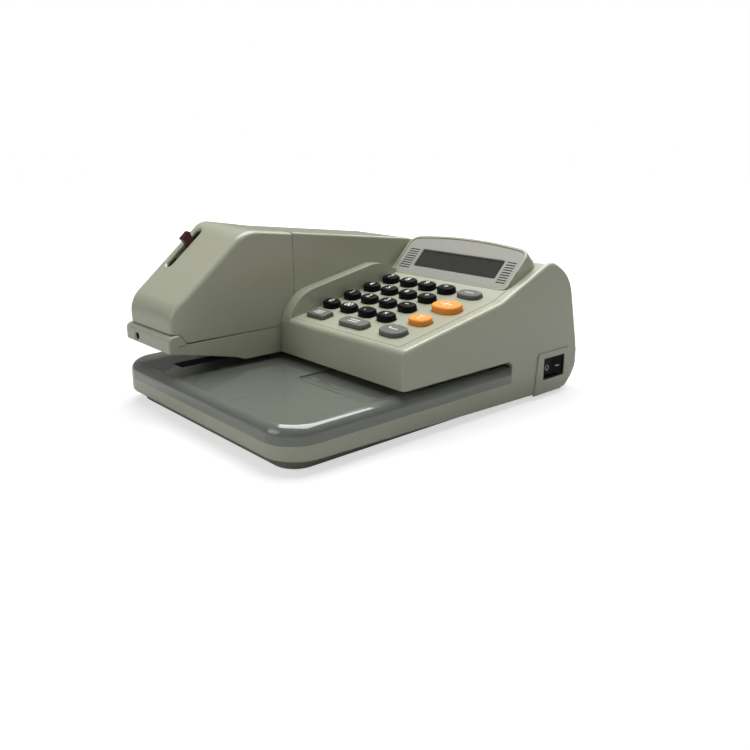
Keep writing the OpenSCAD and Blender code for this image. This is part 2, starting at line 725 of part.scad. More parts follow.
// Side profile of the skirt: its underside climbs towards the nose.
module skirt_side(d = 0) {
    polygon([[y_skirt + d, nose_z[0] + 0.5 + d], [y_skirt + 45, throat_z + 2.7 + d],
        [y_skirt + 52, throat_z + d], [y_seam - 0.01, throat_z + d],
        [y_seam - 0.01, skirt_top_z + 3*d], [y_skirt + d, skirt_top_z - 1 + 3*d]]);
}
slot_x = [arm_x - 9, arm_x + 9];
module head_skirt() {
    color(SHELL) {
        difference() {
            across(arm_l, arm_r) skirt_side();
            across(arm_l + wall, arm_r - wall) skirt_side(wall);
            box([slot_x[0], y_skirt + 20, throat_z - 1], [slot_x[1], y_seam + 1, throat_z + 10]);
            translate([lock_x, y_skirt - 1, lock_z]) rotate([-90, 0, 0]) cylinder(r = plug_r + gap, h = 5);
        }
        skirt_tabs();
    }
}
// Two tabs that tie the skirt's floor to the housing.
module skirt_tabs() {
    for (x = [arm_l + wall + 6, arm_r - wall - 14])
        union() {
            box([x, y_seam - 10, throat_z + wall - eps], [x + 8, y_seam, throat_z + 2*wall - 0.1]);
            box([x, y_seam - 1, throat_z + wall], [x + 8, y_seam + 8, throat_z + 2*wall - 0.1]);
        }
}
nose_x = [arm_l - 0.5, arm_r + 0.5];
nose_wrap = 4.5;
nose_rake = 0.75;
y_nose = y_arm + nose_wrap;
lug_z = skirt_top_z - 0.85;
lock_x = arm_l + 17.5;
lock_z = nose_z[0] + 6.2;
lock_r = 4.2;
// Side profile of the lugs that wrap round the arm; the raked end lets the cover swing clear.
module nose_lug_side() {
    polygon([[y_skirt - 0.1, lug_z], [y_skirt - 0.1, nose_z[1]], [y_nose, nose_z[1]],
        [y_nose + nose_rake*(nose_z[1] - lug_z), lug_z]]);
}
module nose_bar() {
    color(SHELL) difference() {
        union() {
            across(nose_x[0], nose_x[1]) polygon(rounded([[y_front, nose_z[0] + 1.5],
                [y_skirt - 0.02, nose_z[0]], [y_skirt - 0.02, nose_z[1]], [y_front, nose_z[1] - 1]],
                [1.5, 0, 0, 4], 4));
            across(nose_x[0], arm_l + wall) nose_lug_side();
            across(arm_r - wall, nose_x[1]) nose_lug_side();
        }
        translate([lock_x, y_front - 1, lock_z]) rotate([-90, 0, 0]) cylinder(r = lock_r + 0.05, h = 20);
    }
}
module on_lock() {
    translate([lock_x, y_front + 0.3, lock_z]) rotate([-90, 0, 0]) children();
}
plug_r = lock_r - 1.4;
lock_l = y_skirt - y_front - 0.5;
module lock_barrel() {
    color(STEEL) on_lock() difference() {
        cylinder(r = lock_r, h = lock_l);
        translate([0, 0, -1]) cylinder(r = plug_r, h = 30);
    }
}
module lock_plug() {
    stem = lock_l + wall + 0.9;
    color(BLACK) on_lock() {
        difference() {
            cylinder(r = plug_r - shaft_play, h = stem);
            translate([0, 0, -1]) box([-0.6, -2.2, 0], [0.6, 1.2, 5]);
            translate([0, 0, -1]) cylinder(r = 1.1, h = 5);
        }
        translate([0, 0, stem - eps]) box([-2, -6.5, 0], [2, 2, 1.6]);
    }
}

// Head cover: slope, crest and front face, as [y, z].
cover_low = skirt_top_z + gap/2;
cover_end = y_seam - gap;
slope_foot = [y_arm - 0.5, body_h - 50.6];
slope_head = [arm_nose_y, body_h + arm_drop];
slope_dir = unit(slope_head - slope_foot);
slope_a = atan2(slope_dir.y, slope_dir.x);
slope_n = [-slope_dir.y, slope_dir.x];
crest_n = unit([arm_slope, 1]);
front_n = [-1, 0];
// The left side of the slope and crest stands this much higher than the right.
left_rise = 2;
// Corner p of two lines with outward normals n1 and n2, after they move in by d1 and d2.
function inset(p, n1, d1, n2, d2) = let (det = n1.x*n2.y - n1.y*n2.x)
    p + [d2*n1.y - d1*n2.y, d1*n2.x - d2*n1.x]/det;
// Cover profile, set in by d all round and by the share e of the edge's rounding.
function cover_path(d, e, rise) = let (front = d + 1.8*e, slope = d + 0.9*e, top = d + 0.6*e)
    rounded([[y_arm + front, cover_low],
        inset(slope_foot + rise/2*slope_n, front_n, front, slope_n, slope),
        inset(slope_head + [0, rise], slope_n, slope, crest_n, top),
        [cover_end, arm_top(cover_end) - top], [cover_end, cover_low]],
        [0, 20, rise > 0 ? 13 : 26, 0, 0], 6);
// One thin slice of the cover, set in by d and, at its rounded edge, by a share of the radius.
module cover_slice(side, d, a) {
    in = d + cover_r*(1 - sin(a));
    x = side < 0 ? arm_l + in : arm_r - in - 0.1;
    across(x, x + 0.1) polygon(cover_path(d, cover_r*(1 - cos(a)), side < 0 ? left_rise : 0));
}
module cover_form(d) {
    hull() for (side = [-1, 1], a = [0, 30, 60, 90]) cover_slice(side, d, a);
}
// Place on the slope: s along it from the slot's middle, with the normal as local Z.
slot_mid = slope_foot + slope_dir*53.5;
lever_x = arm_l + 12;
lever_up = left_rise*0.7;
module on_slope() {
    translate([lever_x, slot_mid.x, slot_mid.y + lever_up]) rotate([slope_a, 0, 0]) children();
}
lever_arm = 34;
lever_hub_r = 5;
lever_pin_r = 2.5;
module head_cover() {
    color(SHELL) difference() {
        union() {
            difference() {
                intersection() {
                    cover_form(0);
                    across(arm_l - 1, arm_r + 1) cover_seam_trim();
                }
                cover_cavity();
            }
            knuckles();
            lever_lugs();
        }
        on_slope() translate([0, 0, -wall - 4]) linear_extrude(20) rotate(90) stadium(slot_l, slot_w);
        translate([arm_l, hinge_y, hinge_z]) rotate([0, 90, 0])
            cylinder(r = hinge_r + shaft_play, h = arm_w);
        across(arm_l - 1, arm_r + 1) nose_notch();
        for (x = ear_x) box([x - ear_w/2 - gap, hinge_y - knuckle_r - gap, hinge_z - knuckle_r - gap],
            [x + ear_w/2 + gap, y_seam + 1, hinge_z + knuckle_r + 6]);
    }
}
// Notch in the cover's lower front, round the nose bar and its lugs.
module nose_notch() {
    low = cover_low - 1;
    top = nose_z[1] + gap;
    polygon([[y_arm - 2, low], [y_arm - 2, top], [y_nose + gap, top],
        [y_nose + gap + nose_rake*(top - low), low]]);
}
// Rear limit of the cover: straight up to the hinge, then round about its axis.
module cover_seam_trim() {
    box2([y_arm - 2, cover_low], [hinge_y, body_h + 10]);
    box2([y_arm - 2, cover_low], [cover_end, hinge_z]);
    translate([hinge_y, hinge_z]) circle(r = cover_end - hinge_y);
}
module cover_cavity() {
    intersection() {
        cover_form(wall);
        across(arm_l + wall, arm_r - wall) union() {
            box2([y_arm, cover_low - 5], [hinge_y - knuckle_r, body_h + 10]);
            box2([y_arm, cover_low - 5], [cover_end + 1, hinge_z - knuckle_r]);
        }
    }
    box([arm_l + wall, cover_end - 5, cover_low - 1], [arm_r - wall, cover_end + 1, hinge_z - knuckle_r]);
    box([arm_l + wall, y_arm + wall, cover_low - 1], [arm_r - wall, cover_end, cover_low + 1]);
}
module knuckles() {
    translate([arm_l + cover_r, hinge_y, hinge_z]) rotate([0, 90, 0])
        cylinder(r = knuckle_r - 0.2, h = arm_w - 2*cover_r);
}
// Lugs under the slope that hold the lever's pin.
lug_t = 3;
lever_w = slot_w - 2;
lug_gap = lever_w + 1.4;
module lever_lugs() {
    intersection() {
        on_slope() for (s = [-1, 1]) translate([s*(lug_gap + lug_t)/2 - lug_t/2, -8, -lever_arm - 6])
            difference() {
                cube([lug_t, 16, lever_arm + 5]);
                translate([-1, 8, 6]) rotate([0, 90, 0]) cylinder(r = lever_pin_r, h = lug_t + 2);
            }
        cover_form(wall - eps);
    }
}
module lever_pin() {
    color(STEEL) on_slope() translate([-(lug_gap/2 + lug_t), 0, -lever_arm]) rotate([0, 90, 0])
        cylinder(r = lever_pin_r, h = lug_gap + 2*lug_t);
}
module setting_lever() {
    color("#4b1f2c") on_slope() translate([-lever_w/2, 0, -lever_arm]) rotate([-lever_rest, 0, 0])
        difference() {
            union() {
                rotate([0, 90, 0]) cylinder(r = lever_hub_r, h = lever_w);
                translate([0, -3, 0]) cube([lever_w, 6, lever_arm + 2]);
                rotate([90, 0, 90]) linear_extrude(lever_w)
                    polygon([[-3, lever_arm + 1.5], [3, lever_arm + 1.5],
                        [4, lever_arm + 7.5], [-4, lever_arm + 6]]);
            }
            translate([-1, 0, 0]) rotate([0, 90, 0])
                cylinder(r = lever_pin_r + shaft_play, h = lever_w + 2);
        }
}
module hinge_pin() {
    color(STEEL) translate([ear_x[0] - 9, hinge_y, hinge_z]) rotate([0, 90, 0])
        cylinder(r = hinge_r, h = ear_x[1] - ear_x[0] + 18);
}

// ---- Print head ----

chassis_t = 2;
rod_edge = 8;
side_play = 1.15;
rod_half = arm_w/2 - wall - 1 - chassis_t - side_play - rod_edge;
rod_x = [arm_x - rod_half, arm_x + rod_half];
rod_z = throat_z + 32;
chassis_y = [y_arm + 34, y_stop - 6];
shelf_z = rod_z + 10;
rail_z = throat_z + wall;
module head_chassis() {
    color(STEEL) difference() {
        union() {
            for (x = [arm_l + wall + 1, arm_r - wall - 1 - chassis_t])
                box([x, chassis_y[0], rail_z + 8.5], [x + chassis_t, chassis_y[1], rod_z + 8]);
            for (y = [chassis_y[0], chassis_y[1] - 3])
                box([arm_l + wall + 1, y, rail_z + 8.5], [arm_r - wall - 1, y + 3, shelf_z + 2]);
            box([arm_l + wall + 1, y_seam + 8, rail_z], [arm_l + wall + 11, chassis_y[1], rail_z + 10]);
            box([arm_r - wall - 11, y_seam + 8, rail_z], [arm_r - wall - 1, chassis_y[1], rail_z + 10]);
            for (p = belt_posts) pulley_shelf(p);
        }
        for (x = rod_x) translate([x, chassis_y[0] - 1, rod_z]) rotate([-90, 0, 0])
            cylinder(r = rod_r, h = body_d);
        for (p = belt_posts) translate([p.x, p.y, rod_z]) cylinder(r = 2 + shaft_play, h = 40);
    }
}
belt_y = [chassis_y[0] + 8 + pulley_r, chassis_y[1] + 6 + pulley_r];
belt_posts = [for (y = belt_y) [arm_x, y]];
module pulley_shelf(p) {
    box([p.x - 9, p.y - pulley_r - 7, shelf_z], [p.x + 9, p.y + 4, shelf_z + 2]);
}
module guide_rods() {
    color(STEEL) for (x = rod_x) translate([x, chassis_y[0], rod_z]) rotate([-90, 0, 0])
        cylinder(r = rod_r, h = chassis_y[1] - chassis_y[0]);
}
pulley_z = shelf_z + 2.3;
pulley_h = 7;
module pulley(p, shaft) {
    color("#d8d6cc") translate([p.x, p.y, pulley_z]) {
        cylinder(r = pulley_r + 1.6, h = 0.9);
        cylinder(r = pulley_r, h = pulley_h);
        translate([0, 0, pulley_h - 0.9]) cylinder(r = pulley_r + 1.6, h = 0.9);
        translate([0, 0, -shaft]) cylinder(r = 2, h = shaft + eps);
    }
}
module drive_pulley() {
    pulley(belt_posts[1], 12);
}
module idler_pulley() {
    pulley(belt_posts[0], 4.2);
}
belt_t = 1.2;
module drive_belt() {
    r = pulley_r + 0.3;
    color(BLACK) translate([arm_x, 0, pulley_z + 1.3]) linear_extrude(pulley_h - 2.6) difference() {
        belt_loop(r + belt_t);
        belt_loop(r);
    }
}
module belt_loop(r) {
    for (y = belt_y) translate([0, y]) circle(r = r);
    translate([-r, belt_y[0]]) square([2*r, belt_y[1] - belt_y[0]]);
}
motor_h = 24;
module carriage_motor() {
    p = belt_posts[1];
    color("#3a3d42") translate([p.x, p.y, shelf_z - 12 - motor_h]) difference() {
        union() {
            translate([-13, -13, 0]) cube([26, 26, motor_h]);
            translate([-9, -9, motor_h - eps]) cube([18, 18, 12]);
        }
        translate([0, 0, motor_h - 6]) cylinder(r = 2 + shaft_play, h = 30);
        translate([-10, -6, motor_h + 1]) cube([20, 12, 9]);
    }
}

// The carriage at rest stands at its rear stop.
carriage_l = 30;
carriage_y = chassis_y[1] - 6 - carriage_l/2;
wheel_z = throat_z + 1.5 + wheel_r;
wheel_w = 10;
fork_t = 2.4;
fork_x = [arm_x - wheel_w/2 - 0.5 - fork_t, arm_x + wheel_w/2 + 0.5];
ink_at = [carriage_y - (wheel_r + ink_r + 0.4)*cos(14), wheel_z + (wheel_r + ink_r + 0.4)*sin(14)];
module print_carriage() {
    color("#c9c7bb") difference() {
        union() {
            box([rod_x[0] - rod_edge, carriage_y - carriage_l/2, rod_z - 7],
                [rod_x[1] + rod_edge, carriage_y + carriage_l/2, rod_z + 7]);
            for (x = fork_x) box([x, ink_at[0] - 5, wheel_z - 6],
                [x + fork_t, carriage_y + 8, rod_z - 7 + eps]);
            box([arm_x + pulley_r + belt_t + 1, carriage_y - 6, rod_z + 7 - eps],
                [arm_x + pulley_r + belt_t + 5, carriage_y + 6, pulley_z + pulley_h]);
        }
        for (x = rod_x) translate([x, carriage_y - 30, rod_z]) rotate([-90, 0, 0])
            cylinder(r = rod_r + shaft_play, h = 60);
        translate([arm_x - 20, carriage_y, wheel_z]) rotate([0, 90, 0])
            cylinder(r = 2.5 + shaft_play, h = 40);
        translate([arm_x - 20, ink_at[0], ink_at[1]]) rotate([0, 90, 0])
            cylinder(r = 2 + shaft_play, h = 40);
        translate([arm_x, carriage_y, wheel_z]) rotate([0, 90, 0])
            cylinder(r = wheel_r + 1.5, h = wheel_w + 1, center = true);
        translate([arm_x, ink_at[0], ink_at[1]]) rotate([0, 90, 0])
            cylinder(r = ink_r + 1, h = wheel_w + 1, center = true);
    }
}
// Type wheel: a hub and ten flat type faces round its rim.
module print_wheel() {
    color(STEEL) translate([arm_x, carriage_y, wheel_z]) rotate([0, 90, 0]) {
        cylinder(r = wheel_r - 1.6, h = wheel_w, center = true);
        for (i = [0:9]) rotate(36*i) translate([wheel_r - 3, -2.6, -3.5]) cube([2.9, 5.2, 7]);
        cylinder(r = 2.5, h = wheel_w + 1 + 2*fork_t, center = true);
    }
}
module ink_roller() {
    color("#26213a") translate([arm_x, ink_at[0], ink_at[1]]) rotate([0, 90, 0]) {
        cylinder(r = ink_r, h = wheel_w, center = true);
        cylinder(r = 2, h = wheel_w + 1 + 2*fork_t, center = true);
    }
}

base_shell();
bottom_pan();
rubber_feet();
pan_screws();
tray();
platen_bar();
upper_housing();
head_skirt();
nose_bar();
lock_barrel();
key_mat();
key_board();
display_bezel();
display_window();
lcd_module();
switch_body();
power_inlet();
main_board();
transformer();
head_chassis();
guide_rods();
carriage_motor();
drive_belt();
hinge_pin();
head_cover();
lever_pin();
lock_plug();
setting_lever();
switch_rocker();
print_carriage();
print_wheel();
ink_roller();
drive_pulley();
idler_pulley();
for (k = KEYS) key(k);
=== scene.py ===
# %% [markdown]
# # A desk check writer, dressed for the camera
# The machine was first built as solids with real sizes. This lesson loads those solids as a
# fixed frame and gives each one its skin: softly rounded mouldings, keys with legends, a
# grooved display bezel, glossy and matt plastics. Blender counts in metres and this lesson in
# millimetres, with X to the user's right, Y to the rear and Z up.

# %% Load the frame
import json
import math
import bpy
from mathutils import Matrix, Vector


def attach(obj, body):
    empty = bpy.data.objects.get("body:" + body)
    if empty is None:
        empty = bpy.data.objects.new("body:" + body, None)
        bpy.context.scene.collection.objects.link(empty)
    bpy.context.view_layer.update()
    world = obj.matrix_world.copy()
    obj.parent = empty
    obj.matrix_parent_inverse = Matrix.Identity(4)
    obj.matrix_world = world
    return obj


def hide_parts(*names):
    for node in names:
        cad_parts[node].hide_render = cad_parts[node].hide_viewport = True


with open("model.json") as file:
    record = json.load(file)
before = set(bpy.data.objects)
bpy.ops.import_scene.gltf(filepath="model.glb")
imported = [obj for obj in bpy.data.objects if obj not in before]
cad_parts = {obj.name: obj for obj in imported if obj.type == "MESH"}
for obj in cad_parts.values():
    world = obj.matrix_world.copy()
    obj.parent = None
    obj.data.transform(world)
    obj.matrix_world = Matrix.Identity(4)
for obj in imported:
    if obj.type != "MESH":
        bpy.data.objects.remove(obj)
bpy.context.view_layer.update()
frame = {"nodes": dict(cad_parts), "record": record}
nodes = frame["nodes"]
print("solids loaded:", len(nodes))

# %% [markdown]
# ## Camera
# The photograph looks down on the machine's right front corner. Its straight edges give the
# viewing direction, and the lens follows from how fast those edges run together. A camera could
# be aimed by eye, but a solved one lets the render be laid over the photograph.

# %% Camera
MM = 0.001
camera_place = Vector((452.95, -380.55, 193.3)) * MM
azimuth, elevation = math.radians(48.37), math.radians(16.92)
backward = Vector((math.sin(azimuth) * math.cos(elevation),
                   -math.cos(azimuth) * math.cos(elevation), math.sin(elevation)))
bpy.ops.object.camera_add(location=camera_place,
                          rotation=backward.to_track_quat("Z", "Y").to_euler())
camera = bpy.context.object
camera.name = "studio_camera"
camera.data.lens = 37.72
camera.data.sensor_width = 36.0
camera.data.clip_start = 0.01
bpy.context.scene.camera = camera
print("camera stands", round(camera_place.length, 3), "m from the origin")

# %% [markdown]
# ## Small helpers
# Each piece is modelled as by hand: a primitive is added, its points are placed, and the edit
# mode's operators shape it. The helpers only shorten the clicks: they select by place, change
# modes, apply a modifier, or join what belongs together.

# %% Selecting
def focus(piece):
    """Makes one object the only selected one, and the active one."""
    if bpy.context.mode != "OBJECT":
        bpy.ops.object.mode_set(mode="OBJECT")
    bpy.ops.object.select_all(action="DESELECT")
    piece.select_set(True)
    bpy.context.view_layer.objects.active = piece


def edit(piece, kind="EDGE"):
    """Enters edit mode with one kind of element selectable."""
    focus(piece)
    bpy.ops.object.mode_set(mode="EDIT")
    bpy.ops.mesh.select_mode(type=kind)


def done():
    """Goes back to object mode."""
    bpy.ops.object.mode_set(mode="OBJECT")


def pick_edges(piece, test):
    """Selects the edges whose two ends (in millimetres) pass a test, and enters edit mode."""
    edit(piece, "EDGE")
    bpy.ops.mesh.select_all(action="DESELECT")
    done()
    mesh = piece.data
    count = 0
    for edge in mesh.edges:
        a, b = (mesh.vertices[i].co * 1000 for i in edge.vertices)
        if test(a, b):
            edge.select = True
            count += 1
    bpy.ops.object.mode_set(mode="EDIT")
    return count


print("selecting by place is ready")


# %% Shaping
def round_edges(piece, test, width, segments=4):
    """Bevels the chosen edges round, width in millimetres."""
    if pick_edges(piece, test):
        bpy.ops.mesh.bevel(offset=width * MM, offset_type="OFFSET", segments=segments,
                           profile=0.5, affect="EDGES", clamp_overlap=True)
    done()


def finish_mesh(piece, angle=30):
    """Joins doubles, turns faces outwards, and shades smooth but for sharp edges."""
    edit(piece, "VERT")
    bpy.ops.mesh.select_all(action="SELECT")
    bpy.ops.mesh.remove_doubles(threshold=0.004 * MM)
    bpy.ops.mesh.normals_make_consistent(inside=False)
    done()
    bpy.ops.object.shade_smooth_by_angle(angle=math.radians(angle))
    even = piece.modifiers.new("even", "WEIGHTED_NORMAL")
    even.keep_sharp = True
    even.weight = 80
    bpy.ops.object.modifier_apply(modifier=even.name)
    return piece


def cut(piece, tool, way="DIFFERENCE"):
    """Cuts a tool from a piece, or joins it on, and throws the tool away."""
    focus(piece)
    knife = piece.modifiers.new("cut", "BOOLEAN")
    knife.operation = way
    knife.solver = "MANIFOLD"
    knife.object = tool
    bpy.ops.object.modifier_apply(modifier=knife.name)
    bpy.data.objects.remove(tool, do_unlink=True)


def joined(first, *others):
    """Puts the meshes of several pieces into the first one."""
    focus(first)
    for piece in others:
        piece.select_set(True)
    if others:
        bpy.ops.object.join()
    return first


def moved(piece, matrix):
    """Places a piece by a matrix, and keeps the place in its mesh."""
    focus(piece)
    piece.matrix_world = matrix @ piece.matrix_world
    bpy.ops.object.transform_apply(location=True, rotation=True, scale=True)
    return piece


print("bevel, finish, cut, join and move are ready")

# %% [markdown]
# ## Outlines
# Most mouldings here are an outline pushed along one axis. An outline is a filled circle whose
# points are moved to the corners wanted. A corner can be rounded by an arc of points first, so
# that a profile keeps the true radii of the real machine.

# %% Outlines and prisms
def rounded(path, radii, steps=6):
    """A closed path of 2-D points with each corner replaced by an arc."""
    out = []
    for i, corner in enumerate(path):
        b = Vector(corner)
        a, c = Vector(path[i - 1]), Vector(path[(i + 1) % len(path)])
        radius = radii[i] if isinstance(radii, (list, tuple)) else radii
        if radius <= 0:
            out.append(b)
            continue
        u, w = (a - b).normalized(), (c - b).normalized()
        half = math.acos(max(-1.0, min(1.0, u.dot(w)))) / 2
        middle = b + (u + w).normalized() * radius / math.sin(half)
        start = b + u * radius / math.tan(half) - middle
        end = b + w * radius / math.tan(half) - middle
        turn = math.atan2(start.x * end.y - start.y * end.x, start.dot(end))
        first = math.atan2(start.y, start.x)
        for k in range(steps + 1):
            angle = first + turn * k / steps
            out.append(middle + Vector((math.cos(angle), math.sin(angle))) * radius)
    return out


def prism(name, outline, low, high, axis="Z"):
    """Pushes a 2-D outline (millimetres) along an axis from low to high."""
    if bpy.context.mode != "OBJECT":
        done()
    bpy.ops.object.select_all(action="DESELECT")
    bpy.ops.mesh.primitive_circle_add(vertices=len(outline), radius=0.01, fill_type="NGON")
    piece = bpy.context.object
    piece.name = piece.data.name = name
    for point, place in zip(piece.data.vertices, outline):
        u, v = place[0] * MM, place[1] * MM
        point.co = {"Z": (u, v, low * MM), "X": (low * MM, u, v), "Y": (u, low * MM, v)}[axis]
    step = {"Z": (0, 0, 1), "X": (1, 0, 0), "Y": (0, 1, 0)}[axis]
    edit(piece, "FACE")
    bpy.ops.mesh.select_all(action="SELECT")
    bpy.ops.mesh.extrude_region_move(
        TRANSFORM_OT_translate={"value": Vector(step) * (high - low) * MM})
    bpy.ops.mesh.select_all(action="SELECT")
    bpy.ops.mesh.normals_make_consistent(inside=False)
    done()
    return piece


def block(name, low, high):
    """A box from its lowest to its highest corner, in millimetres."""
    return prism(name, [(low[0], low[1]), (high[0], low[1]), (high[0], high[1]),
                        (low[0], high[1])], low[2], high[2])


def inset(path, depth):
    """Draws a closed path in by a depth, keeping its corners."""
    points = [Vector(p) for p in path]
    area = sum(points[i - 1].x * p.y - p.x * points[i - 1].y for i, p in enumerate(points))
    side = 1 if area > 0 else -1
    out = []
    for i, b in enumerate(points):
        a, c = points[i - 1], points[(i + 1) % len(points)]
        u, w = (b - a).normalized(), (c - b).normalized()
        n1, n2 = Vector((-u.y, u.x)) * side, Vector((-w.y, w.x)) * side
        bisector = n1 + n2
        out.append(b + bisector * depth / max(0.3, bisector.dot(n1)))
    return out


print("outline tools ready")

# %% [markdown]
# ## The sizes that the pieces share
# These are the same numbers that drew the solids: the sides of the body, the slopes of key deck
# and arm, and the points that several side profiles share.

# %% Shared sizes
LEFT, RIGHT, FRONT, REAR = -109.0, 107.8, -141.75, 141.75
TRAY_REAR, STOP, CONSOLE, SEAM = 60.25, 56.25, -49.35, -35.75
TRAY_LOW, TRAY_TOP, THROAT, REAR_JOINT = 19.5, 31.4, 36.2, 32.5
ARM_LEFT, ARM_RIGHT, ARM_FRONT = -92.5, -27.0, -137.75
DECK_FRONT, TILT = 62.9, math.radians(10.8)
HEAD_Y, HEAD_Z, ARM_FALL = -76.75, 129.8, 0.115
CORNER, WALL = 24, 2.6


def deck_z(y):
    """Height of the key deck."""
    return DECK_FRONT + math.tan(TILT) * (y - CONSOLE)


def arm_top(y):
    """Height of the arm's top, which falls towards the rear."""
    return HEAD_Z - ARM_FALL * (y - HEAD_Y)


def deck_matrix(x, y):
    """Local frame that lies on the key deck."""
    return Matrix.Translation(Vector((x, y, deck_z(y))) * MM) @ Matrix.Rotation(TILT, 4, "X")


HOOD = Vector((38.2, 59.95, 87.95))
display_matrix = Matrix.Translation(HOOD * MM) @ Matrix.Rotation(math.radians(45), 4, "X")
brow, hip, heel = (127.25, 91.5), (140.35, 38.6), (141.45, REAR_JOINT)
print("deck height at the front edge:", round(deck_z(CONSOLE), 1), "mm")

# %% [markdown]
# ## Floor, backdrop and light
# The object is shown on white. Floor and backdrop could simply be lit up to white, but that
# would bleach the object too. So they answer the camera with plain white, and everything else
# with a soft pale grey. A wide soft light hangs overhead, weaker ones stand in front and behind,
# and the walls facing right stay darker.

# %% Floor and backdrop
bpy.ops.object.select_all(action="DESELECT")
bpy.ops.mesh.primitive_grid_add(x_subdivisions=2, y_subdivisions=2, size=6.0,
                                location=(0, 0, -0.0002))
floor = bpy.context.object
floor.name = "studio_floor"
bpy.ops.mesh.primitive_uv_sphere_add(segments=48, ring_count=24, radius=3.2)
backdrop = bpy.context.object
backdrop.name = "studio_backdrop"
edit(backdrop, "FACE")
bpy.ops.mesh.select_all(action="SELECT")
bpy.ops.mesh.flip_normals()
done()
bpy.ops.object.shade_smooth()


def wire(tree, *links):
    """Links nodes, each link as (from node, its output, to node, its input)."""
    for source, out, target, into in links:
        tree.links.new(source.outputs[out], target.inputs[into])


def studio_material(name, lit):
    """White to the camera, a plain diffuse surface to the light."""
    material = bpy.data.materials.new(name)
    material.use_nodes = True
    tree = material.node_tree
    tree.nodes.clear()
    out = tree.nodes.new("ShaderNodeOutputMaterial")
    mix = tree.nodes.new("ShaderNodeMixShader")
    path = tree.nodes.new("ShaderNodeLightPath")
    white = tree.nodes.new("ShaderNodeEmission")
    cloth = tree.nodes.new("ShaderNodeBsdfDiffuse")
    white.inputs["Color"].default_value = (1, 1, 1, 1)
    cloth.inputs["Color"].default_value = (lit, lit, lit, 1)
    cloth.inputs["Roughness"].default_value = 0.9
    wire(tree, (path, "Is Camera Ray", mix, "Fac"), (cloth, "BSDF", mix, 1),
         (white, "Emission", mix, 2), (mix, "Shader", out, "Surface"))
    return material


backdrop.data.materials.append(studio_material("backdrop_white", 0.8))
print("floor and backdrop")

# %% [markdown]
# ## Floor paint
# The floor has to keep the machine's soft shadow and still run out into white. Near the machine
# it shows its lit surface over a weak glow, and the glow grows to full white further away.

# %% Floor paint
floor_paint = studio_material("floor_white", 0.55)
tree = floor_paint.node_tree
glow = tree.nodes.new("ShaderNodeAddShader")
mix, white, cloth = (next(n for n in tree.nodes if n.bl_idname == kind) for kind in
                     ("ShaderNodeMixShader", "ShaderNodeEmission", "ShaderNodeBsdfDiffuse"))
place = tree.nodes.new("ShaderNodeTexCoord")
reach = tree.nodes.new("ShaderNodeVectorMath")
reach.operation = "LENGTH"
fade = tree.nodes.new("ShaderNodeMapRange")
for socket, value in (("From Min", 0.45), ("From Max", 1.3), ("To Min", 0.62), ("To Max", 1.0)):
    fade.inputs[socket].default_value = value
wire(tree, (place, "Object", reach, 0), (reach, "Value", fade, "Value"),
     (fade, "Result", white, "Strength"), (white, "Emission", glow, 0), (cloth, "BSDF", glow, 1),
     (glow, "Shader", mix, 2))
floor.data.materials.append(floor_paint)
print("floor paint nodes:", len(tree.nodes))


# %% Lamps and world
def area_light(name, place, target, size, power, size_y=None):
    """A soft lamp that looks at a target, all in metres."""
    bpy.ops.object.light_add(type="AREA", location=place)
    lamp = bpy.context.object
    lamp.name = name
    lamp.data.shape = "RECTANGLE"
    lamp.data.size = size
    lamp.data.size_y = size_y or size
    lamp.data.energy = power
    aim = Vector(target) - Vector(place)
    lamp.rotation_euler = aim.to_track_quat("-Z", "Y").to_euler()


area_light("overhead_softbox", (-0.15, 0.25, 1.25), (0, 0, 0.05), 1.3, 24, size_y=1.1)
area_light("front_softbox", (-0.35, -1.5, 0.75), (0, 0, 0.06), 0.9, 4.5)
area_light("rear_strip", (-0.6, 1.25, 0.8), (0, 0, 0.06), 0.7, 5)
world = bpy.data.worlds.new("studio_world")
bpy.context.scene.world = world
world.use_nodes = True
world.node_tree.nodes["Background"].inputs["Color"].default_value = (1, 1, 1, 1)
world.node_tree.nodes["Background"].inputs["Strength"].default_value = 0.45
bpy.context.scene.view_settings.view_transform = "Standard"
bpy.context.scene.view_settings.look = "None"
print("three lamps and the world")

# %% [markdown]
# ## Moulded skin, as a node group
# Injection-moulded plastic is never one flat colour. Its pigment drifts a little over a few
# centimetres, fine specks sit in it, handling leaves duller patches, and the surface carries a
# fine grain. One group makes all of this from the object's own coordinates, and each material
# gives it its own numbers.

# %% Node group
def new_group(name, inputs, outputs):
    """An empty shader group with named sockets."""
    group = bpy.data.node_groups.new(name, "ShaderNodeTree")
    for title, kind, value in inputs:
        group.interface.new_socket(name=title, in_out="INPUT",
                                   socket_type=kind).default_value = value
    for title, kind in outputs:
        group.interface.new_socket(name=title, in_out="OUTPUT", socket_type=kind)
    return group, group.nodes.new("NodeGroupInput"), group.nodes.new("NodeGroupOutput")


def node(tree, kind, **settings):
    """Adds a node; keys that match an attribute set it, others set an input socket."""
    item = tree.nodes.new(kind)
    for key, value in settings.items():
        if hasattr(item, key):
            setattr(item, key, value)
        else:
            item.inputs[key.replace("_", " ")].default_value = value
    return item


